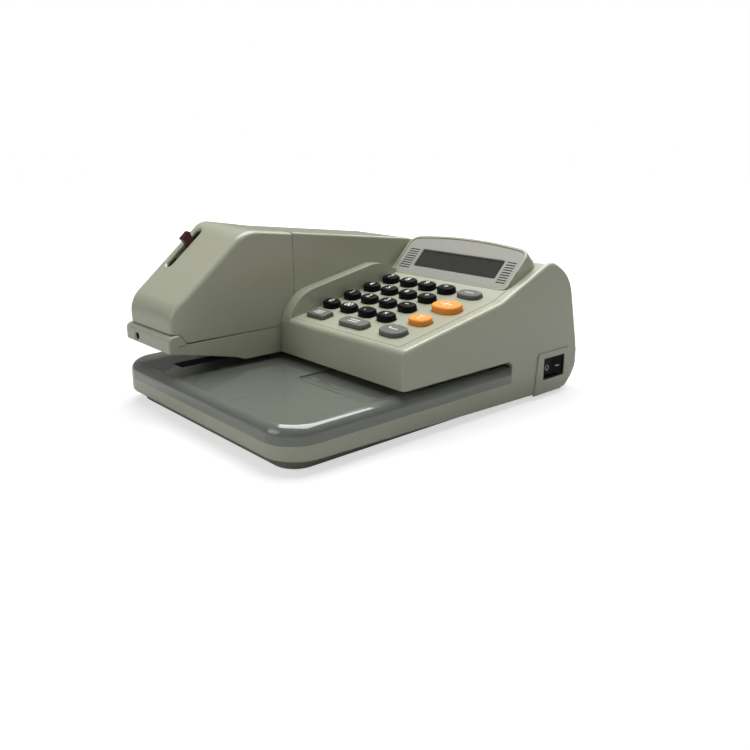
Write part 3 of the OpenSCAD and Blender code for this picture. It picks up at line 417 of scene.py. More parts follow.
skin, skin_in, skin_out = new_group(
    "moulded_skin",
    [("Colour", "NodeSocketColor", (0.5, 0.5, 0.5, 1)),
     ("Shade", "NodeSocketColor", (0.4, 0.4, 0.4, 1)),
     ("Drift", "NodeSocketFloat", 0.3), ("Grain Scale", "NodeSocketFloat", 2500.0),
     ("Speck", "NodeSocketFloat", 0.1), ("Roughness", "NodeSocketFloat", 0.35),
     ("Wear", "NodeSocketFloat", 0.08)],
    [("Colour", "NodeSocketColor"), ("Roughness", "NodeSocketFloat"),
     ("Height", "NodeSocketFloat")])
place = node(skin, "ShaderNodeTexCoord")
cloud = node(skin, "ShaderNodeTexNoise", Scale=22.0, Detail=3.0, Roughness=0.55)
grain = node(skin, "ShaderNodeTexNoise", Detail=2.0, Roughness=0.6)
smudge = node(skin, "ShaderNodeTexNoise", Scale=60.0, Detail=4.0, Roughness=0.7)
for texture in (cloud, grain, smudge):
    wire(skin, (place, "Object", texture, "Vector"))
wire(skin, (skin_in, "Grain Scale", grain, "Scale"))
drift = node(skin, "ShaderNodeMath", operation="MULTIPLY")
wire(skin, (cloud, "Fac", drift, 0), (skin_in, "Drift", drift, 1))
speck = node(skin, "ShaderNodeMath", operation="MULTIPLY_ADD")
wire(skin, (grain, "Fac", speck, 0), (skin_in, "Speck", speck, 1), (drift, "Value", speck, 2))
blend = node(skin, "ShaderNodeMix", data_type="RGBA")
wire(skin, (speck, "Value", blend, 0), (skin_in, "Colour", blend, 6),
     (skin_in, "Shade", blend, 7), (blend, 2, skin_out, "Colour"))
gloss = node(skin, "ShaderNodeMath", operation="MULTIPLY_ADD")
wire(skin, (smudge, "Fac", gloss, 0), (skin_in, "Wear", gloss, 1),
     (skin_in, "Roughness", gloss, 2), (gloss, "Value", skin_out, "Roughness"),
     (grain, "Fac", skin_out, "Height"))
print("group sockets:", len(skin.interface.items_tree))

# %% [markdown]
# ## One material for each kind of surface
# The colours follow the photograph: sage grey casing, glossy dark tray, black, matt grey and
# orange keys, satin bezel, maroon lever. Parts hidden inside get what such parts are made of.

# %% Recipe of a finish
RELIEF = 0.0004


def srgb(*rgb):
    """Linear colour from 0-255 display values."""
    return tuple(((c / 255) / 12.92 if c <= 10 else ((c / 255 + 0.055) / 1.055) ** 2.4)
                 for c in rgb) + (1.0,)


def plastic(name, colour, shade, rough=0.35, wear=0.08, drift=0.25, speck=0.12,
            grain=2500.0, bump=0.05, coat=0.0, coat_rough=0.1, metal=0.0, ior=1.49):
    """Moulded plastic, rubber or metal over the skin group; colours as display values."""
    material = bpy.data.materials.new(name)
    material.use_nodes = True
    tree = material.node_tree
    bsdf = tree.nodes["Principled BSDF"]
    group = tree.nodes.new("ShaderNodeGroup")
    group.node_tree = skin
    relief = node(tree, "ShaderNodeBump", Strength=bump, Distance=RELIEF)
    for socket, value in (("Colour", srgb(*colour)), ("Shade", srgb(*shade)), ("Drift", drift),
                          ("Grain Scale", grain), ("Speck", speck), ("Roughness", rough),
                          ("Wear", wear)):
        group.inputs[socket].default_value = value
    for socket, value in (("Metallic", metal), ("IOR", ior), ("Coat Weight", coat),
                          ("Coat Roughness", coat_rough)):
        bsdf.inputs[socket].default_value = value
    wire(tree, (group, "Colour", bsdf, "Base Color"), (group, "Roughness", bsdf, "Roughness"),
         (group, "Height", relief, "Height"), (relief, "Normal", bsdf, "Normal"))
    return material


print("one recipe for every finish")

# %% Finishes
MATERIALS = {
    "casing_plastic": plastic("sage_casing", (176, 178, 158), (164, 166, 146), rough=0.26,
                              wear=0.05, grain=900, bump=0.02, speck=0.12, drift=0.15, coat=0.3,
                              coat_rough=0.05),
    "tray_plastic": plastic("dark_tray", (116, 120, 112), (106, 110, 103), rough=0.17, wear=0.03,
                            drift=0.12, grain=1400, bump=0.01, coat=1.0, coat_rough=0.02),
    "black_plastic": plastic("black_keys", (13, 13, 13), (8, 8, 8), rough=0.4, wear=0.08,
                             grain=1800, bump=0.03, ior=1.2),
    "grey_key": plastic("grey_keys", (104, 108, 100), (84, 88, 80), rough=0.55, speck=0.5,
                        grain=3200, bump=0.12),
    "orange_key": plastic("orange_keys", (250, 163, 58), (232, 132, 34), rough=0.55, speck=0.5,
                          grain=3200, bump=0.12),
    "bezel_grey": plastic("bezel_satin", (166, 166, 158), (150, 150, 142), rough=0.42, speck=0.3,
                          grain=2600, bump=0.06),
    "window_clear": plastic("window_dark", (60, 62, 56), (50, 52, 47), rough=0.05, wear=0.03,
                            drift=0.4, bump=0.0, coat=1.0, coat_rough=0.02),
    "steel": plastic("plated_steel", (196, 197, 200), (150, 150, 152), rough=0.28, wear=0.2,
                     metal=1.0, grain=600, bump=0.05),
    "board_green": plastic("solder_mask", (40, 96, 58), (24, 66, 40), rough=0.3, speck=0.4,
                           grain=700, bump=0.15),
    "rubber": plastic("black_rubber", (34, 34, 34), (20, 20, 20), rough=0.75, grain=2400,
                      bump=0.2, ior=1.45),
    "mat_rubber": plastic("silicone_mat", (150, 152, 148), (132, 134, 130), rough=0.6, grain=1500,
                          bump=0.1),
    "lever_plastic": plastic("maroon_lever", (70, 27, 38), (50, 18, 27), rough=0.26, grain=1800,
                             bump=0.04),
    "pan_plastic": plastic("pan_grey", (150, 146, 132), (136, 132, 118), rough=0.5, speck=0.3,
                           grain=2000, bump=0.1),
    "white_plastic": plastic("white_nylon", (216, 214, 204), (200, 198, 186), rough=0.45,
                             grain=1500, bump=0.06),
    "copper": plastic("taped_winding", (196, 150, 58), (160, 112, 40), rough=0.35, speck=0.5,
                      grain=500, bump=0.2),
    "ink_foam": plastic("inked_foam", (40, 34, 64), (24, 20, 44), rough=0.9, speck=0.8,
                        grain=1600, bump=0.5),
}
legend_white = plastic("legend_white", (226, 226, 220), (208, 208, 200), rough=0.5,
                       grain=3000, bump=0.02)
# Painted shade: a dark paint for the strips in the bezel's grooves, standing in for the shadow
# there.
painted_groove_shade = plastic("painted_groove_shadow", (52, 54, 48), (40, 42, 36), rough=0.7)
print("materials:", len(MATERIALS) + 2)

# %% [markdown]
# ## Every solid gets its surface
# The record names a material slot for each solid. All of them are dressed first; the pieces
# modelled below then stand in for the ones that show.

# %% Dress the solids
def paint_node(piece, material):
    """Gives a whole piece one material."""
    piece.data.materials.clear()
    piece.data.materials.append(material)


for part in frame["record"]["subparts"]:
    paint_node(nodes[part["node"]], MATERIALS[part["material_slot"]])
print("dressed:", len(nodes))


# %% Settle a piece
def settle(piece, body, node_name):
    """Lets a finished piece ride on its body and stand for its solid."""
    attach(piece, body)
    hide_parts(node_name)


def dress(piece, body, node_name, slot):
    """Finishes a mesh, paints it like its slot and settles it."""
    finish_mesh(piece)
    paint_node(piece, MATERIALS[slot])
    settle(piece, body, node_name)
    print(piece.name, "has", len(piece.data.polygons), "faces")


print("pieces can be settled on their bodies")

# %% [markdown]
# ## Lofts
# Keys and the arm's cover change their outline along the way, which a prism can't do. A loft
# starts as one filled ring; the ring is extruded again and again, and each new ring is moved to
# its own outline. New points are found along the new edges, so that the rings never twist.

# %% Loft
def loft(name, loops):
    """A closed skin through rings of points (millimetres), all of the same count."""
    if bpy.context.mode != "OBJECT":
        done()
    bpy.ops.object.select_all(action="DESELECT")
    bpy.ops.mesh.primitive_circle_add(vertices=len(loops[0]), radius=0.01, fill_type="NGON")
    piece = bpy.context.object
    piece.name = piece.data.name = name
    for point, target in zip(piece.data.vertices, loops[0]):
        point.co = Vector(target) * MM
    edit(piece, "FACE")
    bpy.ops.mesh.select_all(action="SELECT")
    ring = list(range(len(loops[0])))
    for loop in loops[1:]:
        bpy.ops.mesh.extrude_region_move(TRANSFORM_OT_translate={"value": (0, 0, 0)})
        done()
        fresh = {v.index for v in piece.data.vertices if v.select}
        follow = {}
        for edge in piece.data.edges:
            a, b = edge.vertices
            if (a in fresh) != (b in fresh):
                follow[b if a in fresh else a] = a if a in fresh else b
        ring = [follow[index] for index in ring]
        for index, target in zip(ring, loop):
            piece.data.vertices[index].co = Vector(target) * MM
        bpy.ops.object.mode_set(mode="EDIT")
    bpy.ops.mesh.select_all(action="SELECT")
    bpy.ops.mesh.normals_make_consistent(inside=False)
    done()
    return piece


print("loft ready")


# %% Ready outlines and bars
def stadium(w, d, n=16):
    """Outline with two round ends."""
    points = []
    for side in (1, -1):
        for i in range(n + 1):
            angle = math.pi * i / n
            points.append(Vector((side * ((w - d) / 2 + d / 2 * math.sin(angle)),
                                  -side * d / 2 * math.cos(angle))))
    return points


def oval(w, d, n=16):
    """Full oval outline, fuller at the corners than an ellipse."""
    turns = [math.radians(180 * i / n) for i in range(2 * n)]
    return [(math.copysign(w / 2 * abs(math.cos(t)) ** 0.8, math.cos(t)),
             math.copysign(d / 2 * abs(math.sin(t)) ** 0.8, math.sin(t))) for t in turns]


def soft_box(w, d, radius):
    """Rectangle outline with round corners."""
    return rounded([(-w / 2, -d / 2), (w / 2, -d / 2), (w / 2, d / 2), (-w / 2, d / 2)], radius)


def plan(d=0.0, steps=12):
    """Plan outline of the whole body, drawn in by d."""
    return rounded([(LEFT + d, FRONT + d), (RIGHT - d, FRONT + d), (RIGHT - d, REAR - d),
                    (LEFT + d, REAR - d)],
                   [CORNER - d, CORNER - d, 3 - min(d, 2), 3 - min(d, 2)], steps)


def shifted(outline, x, y):
    """Moves a 2-D outline sideways."""
    return [(p[0] + x, p[1] + y) for p in outline]


def at(z, outline):
    """Lifts a 2-D outline to a height."""
    return [(p[0], p[1], z) for p in outline]


def rod(name, radius, length, matrix, sides=32):
    """A round bar along local Z, in millimetres, kept at its place in the mesh."""
    circle = [Vector((math.cos(2 * math.pi * i / sides), math.sin(2 * math.pi * i / sides)))
              * radius for i in range(sides)]
    return moved(prism(name, circle, 0, length), matrix)


ALONG_X = Matrix.Rotation(math.radians(90), 4, "Y")
ALONG_Y = Matrix.Rotation(math.radians(-90), 4, "X")


def spot(x, y, z):
    """Translation matrix of a place in millimetres."""
    return Matrix.Translation(Vector((x, y, z)) * MM)


print("points in the body's plan outline:", len(plan()))

# %% [markdown]
# ## Tray
# A thick slab, glossy on top, whose front and side edges are rolled over. It could be a box with
# a bevel modifier, but only three of its sides are round, so those edges are picked and bevelled.
# A shallow recess with a fine bead round it guides the check, and lines are engraved in it.

# %% Tray
EDGE_ROLL = 7
GUIDE_PLACE, GUIDE_W, GUIDE_D, GUIDE_ROUND, GUIDE_DEPTH = (60.4, -4.75), 74.0, 133.2, 3, 0.8
BEAD_WIDTH, BEAD_HEIGHT = 1.2, 0.3
PLATEN_SLOT = (-66.95, -119.95), (-52.55, 52.45)
ENGRAVED = [(27, -67, 63, -66.4), (27, -61.2, 63, -60.6), (27, -67, 27.6, -60.6),
            (62.4, -67, 63, -60.6), (38, -65.2, 52, -62.6), (24, -73.4, 70, -73)]
tray_outline = rounded([(LEFT, FRONT), (RIGHT, FRONT), (RIGHT, TRAY_REAR), (LEFT, TRAY_REAR)],
                       [CORNER, CORNER, 0, 0], 14)
tray = prism("tray_top", tray_outline, TRAY_LOW, TRAY_TOP)
round_edges(tray, lambda a, b: min(a.z, b.z) > TRAY_TOP - 0.01
            and min(a.y, b.y) < TRAY_REAR - 0.1, EDGE_ROLL, 8)
bead_box = soft_box(GUIDE_W + 2 * BEAD_WIDTH, GUIDE_D + 2 * BEAD_WIDTH,
                    GUIDE_ROUND + BEAD_WIDTH)
bead = prism("guide_bead", shifted(bead_box, *GUIDE_PLACE), TRAY_TOP - 1, TRAY_TOP + BEAD_HEIGHT)
round_edges(bead, lambda a, b: min(a.z, b.z) > TRAY_TOP + BEAD_HEIGHT - 0.01, 0.28, 2)
cut(tray, bead, "UNION")
guide_box = soft_box(GUIDE_W, GUIDE_D, GUIDE_ROUND)
cut(tray, prism("guide_tool", shifted(guide_box, *GUIDE_PLACE),
                TRAY_TOP - GUIDE_DEPTH, TRAY_TOP + 2))
cut(tray, block("platen_tool", (*PLATEN_SLOT[0], TRAY_TOP - 4), (*PLATEN_SLOT[1], TRAY_TOP + 1)))
for x0, y0, x1, y1 in ENGRAVED:
    cut(tray, block("line_tool", (x0, y0, TRAY_TOP - 1.2), (x1, y1, TRAY_TOP + 1)))
dress(tray, "housing", "tray", "tray_plastic")

# %% [markdown]
# ## Base casing
# The lower shell carries everything. Its side profile is pushed across the machine and trimmed
# to the plan outline, because both show true in the photograph. Its hollow and the holes for
# switch and inlet are cut next, and the frame round the switch is added. A collar inside the
# rear wall meets the face of the mains inlet.

# %% Base profile
LOW_FRONT, LOW_REAR, RAMP_END, SHELL = 9.5, 3.0, REAR - 16, 3.0
REAR_CURVE = [(12, 5.9), (7.3, 10.4), (3, 17.4), (0.9, 22.5), (0, 28), (0.3, REAR_JOINT)]


def base_side(d=0.0, front_top=TRAY_LOW, rear_top=REAR_JOINT):
    """Side profile of the base, drawn in by d."""
    path = [(FRONT - 1, LOW_FRONT - d), (RAMP_END - d, LOW_REAR - d)]
    path += [(REAR - u - d, v) for u, v in REAR_CURVE]
    if rear_top > REAR_JOINT:
        path.append((REAR - 0.3 - d, rear_top))
    return path + [(TRAY_REAR, rear_top), (TRAY_REAR, front_top), (FRONT - 1, front_top)]


def low_edge(p):
    """True for a point on the base's lower edge."""
    fall = (LOW_FRONT - LOW_REAR) / (RAMP_END - FRONT)
    return p.z < LOW_FRONT - (p.y - FRONT) * fall + 0.25 and p.y < RAMP_END + 1


print("points in the base's side profile:", len(base_side()))

# %% Base casing
SWITCH_Y, SWITCH_Z, FRAME_RISE = 110.25, 22.6, 1.2
frame_path = rounded([(87.25, 3), (121.25, 3), (129.25, 16.1), (129.25, 35.6), (91.25, 35.6)],
                     [0, 0, 6, 2, 2])
COLLAR = [(134.5, 12.6), (135.2, 12.6), (138.2, 17.4), (140.2, 22.5), (140.9, 31.9),
          (134.5, 31.9)]


def switch_box(name, x0, x1, half_d, half_h):
    """A box round the switch's middle, from x0 to x1."""
    return block(name, (x0, SWITCH_Y - half_d, SWITCH_Z - half_h),
                 (x1, SWITCH_Y + half_d, SWITCH_Z + half_h))


base = prism("base_casing", base_side(), LEFT - 1, RIGHT + 1, "X")
cut(base, prism("plan_tool", plan(steps=14), 0, 60), "INTERSECT")
round_edges(base, lambda a, b: low_edge(a) and low_edge(b), 1.4, 3)
hollow = prism("hollow", base_side(SHELL, TRAY_LOW + 1, REAR_JOINT + 1), LEFT + SHELL,
               RIGHT - SHELL, "X")
cut(hollow, prism("plan_tool", plan(SHELL), -5, 60), "INTERSECT")
cut(base, hollow)
cut(base, switch_box("switch_tool", RIGHT - 4, RIGHT + 1, 12, 7.5))
frame_ring = prism("switch_frame", frame_path, RIGHT - 0.4, RIGHT + FRAME_RISE, "X")
round_edges(frame_ring, lambda a, b: min(a.x, b.x) > RIGHT + FRAME_RISE - 0.1, 0.7, 3)
cut(frame_ring, switch_box("switch_tool", RIGHT - 3, RIGHT + 3, 13, 8.5))
cut(base, frame_ring, "UNION")
cut(base, prism("inlet_collar", COLLAR, -65.0, -33.0, "X"), "UNION")
cut(base, block("inlet_tool", (-62.5, REAR - 20, 14), (-35.5, REAR + 1, 30)))
dress(base, "housing", "base_shell", "casing_plastic")

# %% [markdown]
# ## Upper casing
# Console, rear part of the arm, shoulder, cheek and display hood are one moulding on the real
# machine. Here each is a form of its own with its outer edges rounded first, since a bevel is
# safest on a simple shape. They are joined, hollowed, and then cut open for keys, display, switch
# frame and carriage.

# %% Profiles of the upper casing
DECK_END, CHEEK_WIDTH, CONSOLE_ROUND = 46.65, 11, 3.2
console_path = rounded([(CONSOLE, THROAT), (CONSOLE, DECK_FRONT), (DECK_END, deck_z(DECK_END)),
                        (102.75, 105.5), brow, hip, heel, (TRAY_REAR, REAR_JOINT),
                        (STOP, THROAT)],
                       [0, 4.5, 30, 16, 32, 10, 0, 0, 0], 8)
arm_path = rounded([(SEAM, THROAT), (SEAM, arm_top(SEAM)), (82.75, arm_top(82.75)),
                    (104.75, 106), brow, hip, heel, (TRAY_REAR, REAR_JOINT), (STOP, THROAT)],
                   [0, 0, 40, 16, 32, 10, 0, 0, 0], 8)
shoulder_path = rounded([(TRAY_REAR, REAR_JOINT), (64.25, 66), (134.75, 66), hip, heel],
                        [0, 14, 8, 10, 0], 8)
cheek_path = rounded([(CONSOLE, DECK_FRONT - 12), (CONSOLE, DECK_FRONT), (-37.35, 80.7),
                      (44.25, 97.46), (65.65, 84.5), (65.65, DECK_FRONT)],
                     [0, 20, 30, 34, 0, 0], 10)


def bezel_outline(d=0.0, steps=14):
    """Outline of the display bezel with its arched top, grown by d."""
    half = 59 + d
    path = [(-half, -d), (half, -d)]
    for i in range(steps + 1):
        x = half - 2 * half * i / steps
        path.append((x, 33.5 + d + 4.5 * (1 - (x / half) ** 2)))
    radii = [5 + d, 5 + d, 7 + d] + [0] * (steps - 1) + [7 + d]
    return rounded(path, radii, 5)


print("profile points:", len(console_path), len(arm_path), len(cheek_path))

# %% Outer form
def side_ring(x, depth):
    """The console's profile at x, drawn in by a depth except along its underside."""
    drawn = inset(console_path, depth) if depth else console_path
    return [(x, q[0], p[1] if p[1] < THROAT + 0.05 else q[1])
            for p, q in zip(console_path, drawn)]


rings = [side_ring(ARM_RIGHT, 0)]
for k in range(8):
    turn = math.radians(90 * k / 7)
    rings.append(side_ring(RIGHT - CONSOLE_ROUND * (1 - math.sin(turn)),
                           CONSOLE_ROUND * (1 - math.cos(turn))))
console = loft("upper_casing", rings)
arm_rear = prism("arm_rear", arm_path, ARM_LEFT, ARM_RIGHT, "X")
round_edges(arm_rear, lambda a, b: abs(a.x - b.x) < 0.01 and min(a.z, b.z) > 60, 3.4, 5)
shoulder = prism("shoulder", shoulder_path, LEFT, ARM_LEFT + 1, "X")
round_edges(shoulder, lambda a, b: max(a.x, b.x) < LEFT + 0.05 and min(a.z, b.z) > 38, 4)
cheek_right = ARM_RIGHT + CHEEK_WIDTH
cheek = prism("cheek", cheek_path, ARM_RIGHT, cheek_right, "X")
round_edges(cheek, lambda a, b: min(a.x, b.x) > cheek_right - 0.1 and min(a.z, b.z) > 62, 1.5)
round_edges(cheek, lambda a, b: max(a.x, b.x) < ARM_RIGHT + 0.1 and min(a.z, b.z) > 56, 0.5, 2)
hood = prism("hood", bezel_outline(2.4), -17, 0)
round_edges(hood, lambda a, b: min(a.z, b.z) > -0.05, 1.1)
moved(hood, display_matrix)
for extra in (arm_rear, shoulder, cheek, hood):
    cut(console, extra, "UNION")
print("outer form:", len(console.data.polygons), "faces")

# %% Where the keys sit
KEY_PITCH, KEY_W, KEY_D, KEY_H = 20.3, 15.2, 11.2, 4.8
KEY_ROWS = [("0", "00", ".", "×"), ("1", "2", "3", "−"), ("4", "5", "6", "+"),
            ("7", "8", "9", "÷")]
SIGN_NAMES = {".": "point", "×": "times", "−": "minus", "+": "plus", "÷": "divide"}
KEYS = [(sign, SIGN_NAMES.get(sign, sign), -7.2 + KEY_PITCH * column, -14.75 + KEY_PITCH * row)
        for row, signs in enumerate(KEY_ROWS) for column, sign in enumerate(signs)]
# The pads have no common grid: name: (x, y, width, depth, height, corner), 0 for an oval.
PADS = {"menu": (0.92, -32.95, 20, 11, 3.4, 1.5), "total": (40.5, -32.95, 27, 11, 3.4, 4),
        "clear": (77.7, -30.15, 22, 15, 3.4, 0), "feed": (80.7, -7.75, 18, 13, 4.2, 0),
        "print": (80.7, 18.45, 24, 16, 4.8, 0), "reset": (76.7, 46.25, 21, 12, 3.4, 0)}


def key_outline(w, d, radius, grow=0.0):
    """Outline of a key, grown or drawn in."""
    if radius == 0:
        return oval(w + 2 * grow, d + 2 * grow)
    return soft_box(w + 2 * grow, d + 2 * grow, radius + grow)


print("keys:", len(KEYS), "ovals and", len(PADS), "pads")

# %% Hollow
# Console and arm lose their insides, and the arm stays open towards the cover.
cut(console, prism("tool", inset(console_path, WALL), ARM_RIGHT - WALL, RIGHT - WALL, "X"))
cut(console, prism("tool", inset(arm_path, WALL), ARM_LEFT + WALL, ARM_RIGHT - WALL, "X"))
cut(console, block("tool", (ARM_LEFT + WALL, SEAM - 1, THROAT + WALL),
                   (ARM_RIGHT - WALL, SEAM + WALL + 1, arm_top(SEAM) - WALL - 3)))
# The shoulder, the open underside over the base, and the room behind the display.
cut(console, prism("tool", inset(shoulder_path, WALL), LEFT + WALL, ARM_LEFT + WALL, "X"))
cut(console, block("tool", (LEFT + WALL, STOP + 4 + WALL, 31.5),
                   (RIGHT - WALL, 138.85, REAR_JOINT + WALL + 2)))
cut(console, moved(prism("tool", bezel_outline(-0.2), -25, -4.2), display_matrix))
print("hollowed:", len(console.data.polygons), "faces")

# %% Openings
KEY_GAP, SLOT_LEFT, SLOT_RIGHT = 0.4, -68.75, -50.75
holes = [moved(prism("hole", key_outline(KEY_W, KEY_D, 0, KEY_GAP), -5.6, 9), deck_matrix(x, y))
         for sign, name, x, y in KEYS]
holes += [moved(prism("hole", key_outline(w, d, radius, KEY_GAP), -5.6, 9), deck_matrix(x, y))
          for x, y, w, d, h, radius in PADS.values()]
cut(console, joined(*holes))
# The seat of the bezel, the window of the display module, and the corner round the switch frame.
cut(console, moved(prism("tool", bezel_outline(0.15), -1.6, 9), display_matrix))
cut(console, moved(block("tool", (-41.5, 6.55, -12), (45.5, 25.35, 10)), display_matrix))
cut(console, prism("tool", inset(frame_path, -0.2), RIGHT - 4, RIGHT + 5, "X"))
# The slot under the arm for the type wheel, and the thin gap between cheek and cover.
cut(console, block("tool", (SLOT_LEFT, SEAM - 1, THROAT - 1), (SLOT_RIGHT, 46.25, THROAT + 3.6)))
cut(console, block("tool", (-30, CONSOLE - 1, THROAT - 1), (-26.7, SEAM, 128.5)))
print("opened:", len(console.data.polygons), "faces")

# %% Hinge ears and the deck's fine grooves
# Two ears carry the cover's pin. Fine grooves mark the panel round the keys.
HINGE, EARS = (-38.55, 122.685), (-77.5, -43.0)
for x in EARS:
    ear = rod("ear", 2.3, 6, spot(x - 3, *HINGE) @ ALONG_X)
    cut(ear, block("tool", (x - 3, HINGE[0], HINGE[1] - 2.3), (x + 3, -32.15, HINGE[1] + 0.5)),
        "UNION")
    cut(console, ear, "UNION")
    cut(console, rod("tool", 1.2, 12, spot(x - 6, *HINGE) @ ALONG_X, 24))
groove = [(-45.5, deck_z(-45.5) - 0.5), (DECK_END, deck_z(DECK_END) - 0.4), (72, 91.68),
          (72, 110), (-45.5, 90)]
cut(console, prism("tool", groove, 98.7, 99.3, "X"))
cut(console, moved(block("tool", (-60.6, -0.3, -0.45), (60.9, 0.3, 3)), deck_matrix(38.4, -45.2)))
dress(console, "housing", "upper_housing", "casing_plastic")

# %% [markdown]
# ## Arm cover
# The real cover changes from side to side, so no prism fits it, and it is lofted from its left
# side to its right side. The rings near both sides are drawn in along a quarter round, most at
# the front, less on the slope and least on top. The left side stands two millimetres higher, and
# there the bend at the head of the slope is tighter.

# %% Cover profile
FOOT, HEAD = Vector((-138.25, 77.9)), Vector((HEAD_Y, HEAD_Z))
along = (HEAD - FOOT).normalized()
SLOPE_N = Vector((-along.y, along.x))
CREST_N = Vector((ARM_FALL, 1)).normalized()
COVER_LOW, COVER_END, COVER_ROUND = 56.2, SEAM - 0.4, 4.5
LEFT_RISE, LEFT_BEND, RIGHT_BEND, FOOT_BEND = 1.97, 13, 26, 20
SLOT_ALONG, LEVER_X, LEVER_DEPTH = 53.5, -80.5, 34


def meet(p, n1, d1, n2, d2):
    """Corner p of two lines with outward normals n1, n2 after they move in by d1, d2."""
    det = n1.x * n2.y - n1.y * n2.x
    return Vector(p) + Vector((d2 * n1.y - d1 * n2.y, d1 * n2.x - d2 * n1.x)) / det


def in_triangles(piece):
    """Splits large flat faces, so that a later cut leaves them whole."""
    focus(piece)
    split = piece.modifiers.new("split", "TRIANGULATE")
    split.min_vertices = 5
    bpy.ops.object.modifier_apply(modifier=split.name)
    return piece


def cover_path(d, e, rise, bend, low, end):
    """Side profile of the cover, set in by d and by shares of the edge rounding e."""
    front, slope, top = d + 1.8 * e, d + 0.9 * e, d + 0.6 * e
    outward = Vector((-1, 0))
    return rounded([(ARM_FRONT + front, low),
                    meet(FOOT + SLOPE_N * rise / 2, outward, front, SLOPE_N, slope),
                    meet(HEAD + Vector((0, rise)), SLOPE_N, slope, CREST_N, top),
                    (end, arm_top(end) - top), (end, low)], [0, FOOT_BEND, bend, 0, 0], 12)


def cover_loft(name, d, low, steps=7, end=COVER_END):
    """The cover's form, set in by d."""
    rings = []
    for side in (-1, 1):
        for k in range(steps + 1):
            angle = math.radians(90) * (steps - k if side < 0 else k) / steps
            inward = d + COVER_ROUND * (1 - math.sin(angle))
            x = ARM_LEFT + inward if side < 0 else ARM_RIGHT - inward
            path = cover_path(d, COVER_ROUND * (1 - math.cos(angle)),
                              LEFT_RISE if side < 0 else 0.0,
                              LEFT_BEND if side < 0 else RIGHT_BEND, low, end)
            rings.append([(x, p.x, p.y) for p in path])
    return in_triangles(loft(name, rings))


slot_middle = FOOT + along * SLOT_ALONG
slope_matrix = (spot(LEVER_X, slot_middle.x, slot_middle.y + 1.4)
                @ Matrix.Rotation(math.atan2(along.y, along.x), 4, "X"))
print("slope angle:", round(math.degrees(math.atan2(along.y, along.x)), 2), "degrees")

# %% Arm cover
CHIN = 62.9
cover = cover_loft("arm_cover", 0.0, COVER_LOW - 4, end=COVER_END + 3)
trim = [(-150, CHIN), (-150, 135), (HINGE[0], 135)]
trim += [(HINGE[0] + 2.4 * math.sin(a), HINGE[1] + 2.4 * math.cos(a))
         for a in [math.radians(x) for x in range(0, 91, 10)]]
trim += [(COVER_END, COVER_LOW), (-127.82, COVER_LOW), (-132.85, CHIN)]
cut(cover, prism("tool", trim, ARM_LEFT - 2, ARM_RIGHT + 2, "X"), "INTERSECT")
inner = cover_loft("cover_inner", WALL, COVER_LOW - 5, 3)
cut(inner, prism("tool", [(-140, 40), (-140, 140), (HINGE[0] - 2.3, 140),
                          (HINGE[0] - 2.3, HINGE[1] - 2.3), (COVER_END + 2, HINGE[1] - 2.3),
                          (COVER_END + 2, 40)], ARM_LEFT, ARM_RIGHT, "X"), "INTERSECT")
lugs = []
for side in (-1, 1):
    lug = moved(block("lug", (side * 5.2 - 1.5, -8, -40), (side * 5.2 + 1.5, 8, -1)),
                slope_matrix)
    cut(lug, cover_loft("tool", WALL - 0.3, COVER_LOW - 5, 3), "INTERSECT")
    lugs.append(lug)
cut(cover, inner)
print("shell and lugs ready")

# %% Cover hollow, knuckle and slot
cut(cover, block("tool", (ARM_LEFT + WALL, COVER_END - 5, 50),
                 (ARM_RIGHT - WALL, COVER_END + 1, HINGE[1] - 2.3)))
cut(cover, block("tool", (ARM_LEFT + WALL, ARM_FRONT + WALL, 50),
                 (ARM_RIGHT - WALL, COVER_END, COVER_LOW + 1)))
cut(cover, rod("knuckle", 2.1, 56.5, spot(-88, *HINGE) @ ALONG_X), "UNION")
for lug in lugs:
    cut(cover, lug, "UNION")
cut(cover, rod("tool", 2.5, 30, slope_matrix @ spot(-15, 0, -LEVER_DEPTH) @ ALONG_X))
slot_rings = [at(z, stadium(38 + 2 * g, 8 + 2 * g)) for z, g in
              [(-9, 0), (-1.5, 0), (-0.9, 0.25), (-0.3, 0.9), (0.15, 1.9), (2.5, 6)]]
turned = slope_matrix @ Matrix.Rotation(math.radians(90), 4, "Z")
cut(cover, moved(loft("slot_tool", slot_rings), turned))
cut(cover, rod("tool", 1.25, 58, spot(-88.8, *HINGE) @ ALONG_X, 24))
for x in EARS:
    cut(cover, block("tool", (x - 3.4, HINGE[0] - 2.7, HINGE[1] - 2.7),
                     (x + 3.4, SEAM + 1, HINGE[1] + 8.3)))
dress(cover, "cover", "head_cover", "casing_plastic")

# %% [markdown]
# ## Skirt and nose bar
# Below the cover a fixed skirt closes the arm from beneath; its floor is slotted for the print
# wheel. The nose bar wraps round its front with two raked lugs and holds the lock. Both keep one
# profile across the arm, so they are prisms.

# %% Skirt
LOCK_X, LOCK_Z = -75, 54.7
skirt_path = [(-134.75, 49), (-89.75, 38.9), (-82.75, THROAT), (-35.8, THROAT), (-35.8, 56),
              (-134.75, 55)]
skirt = prism("arm_skirt", skirt_path, ARM_LEFT, ARM_RIGHT, "X")
round_edges(skirt, lambda a, b: abs(a.x - b.x) < 0.01 and min(a.z, b.z) > 54.9, 0.7, 3)
round_edges(skirt, lambda a, b: abs(a.x - b.x) < 0.01 and max(a.z, b.z) < 49.1
            and max(a.y, b.y) < -36, 1.0, 3)
skirt_inner = [(-132.15, 51.6), (-87.15, 41.5), (-80.15, 38.8), (-35, 38.8), (-35, 64),
               (-132.15, 64)]
cut(skirt, prism("tool", skirt_inner, ARM_LEFT + WALL, ARM_RIGHT - WALL, "X"))
cut(skirt, block("tool", (SLOT_LEFT, -114.75, 35), (SLOT_RIGHT, SEAM + 1, 46.2)))
cut(skirt, rod("tool", 3.2, 5, spot(LOCK_X, -135.75, LOCK_Z) @ ALONG_Y, 24))
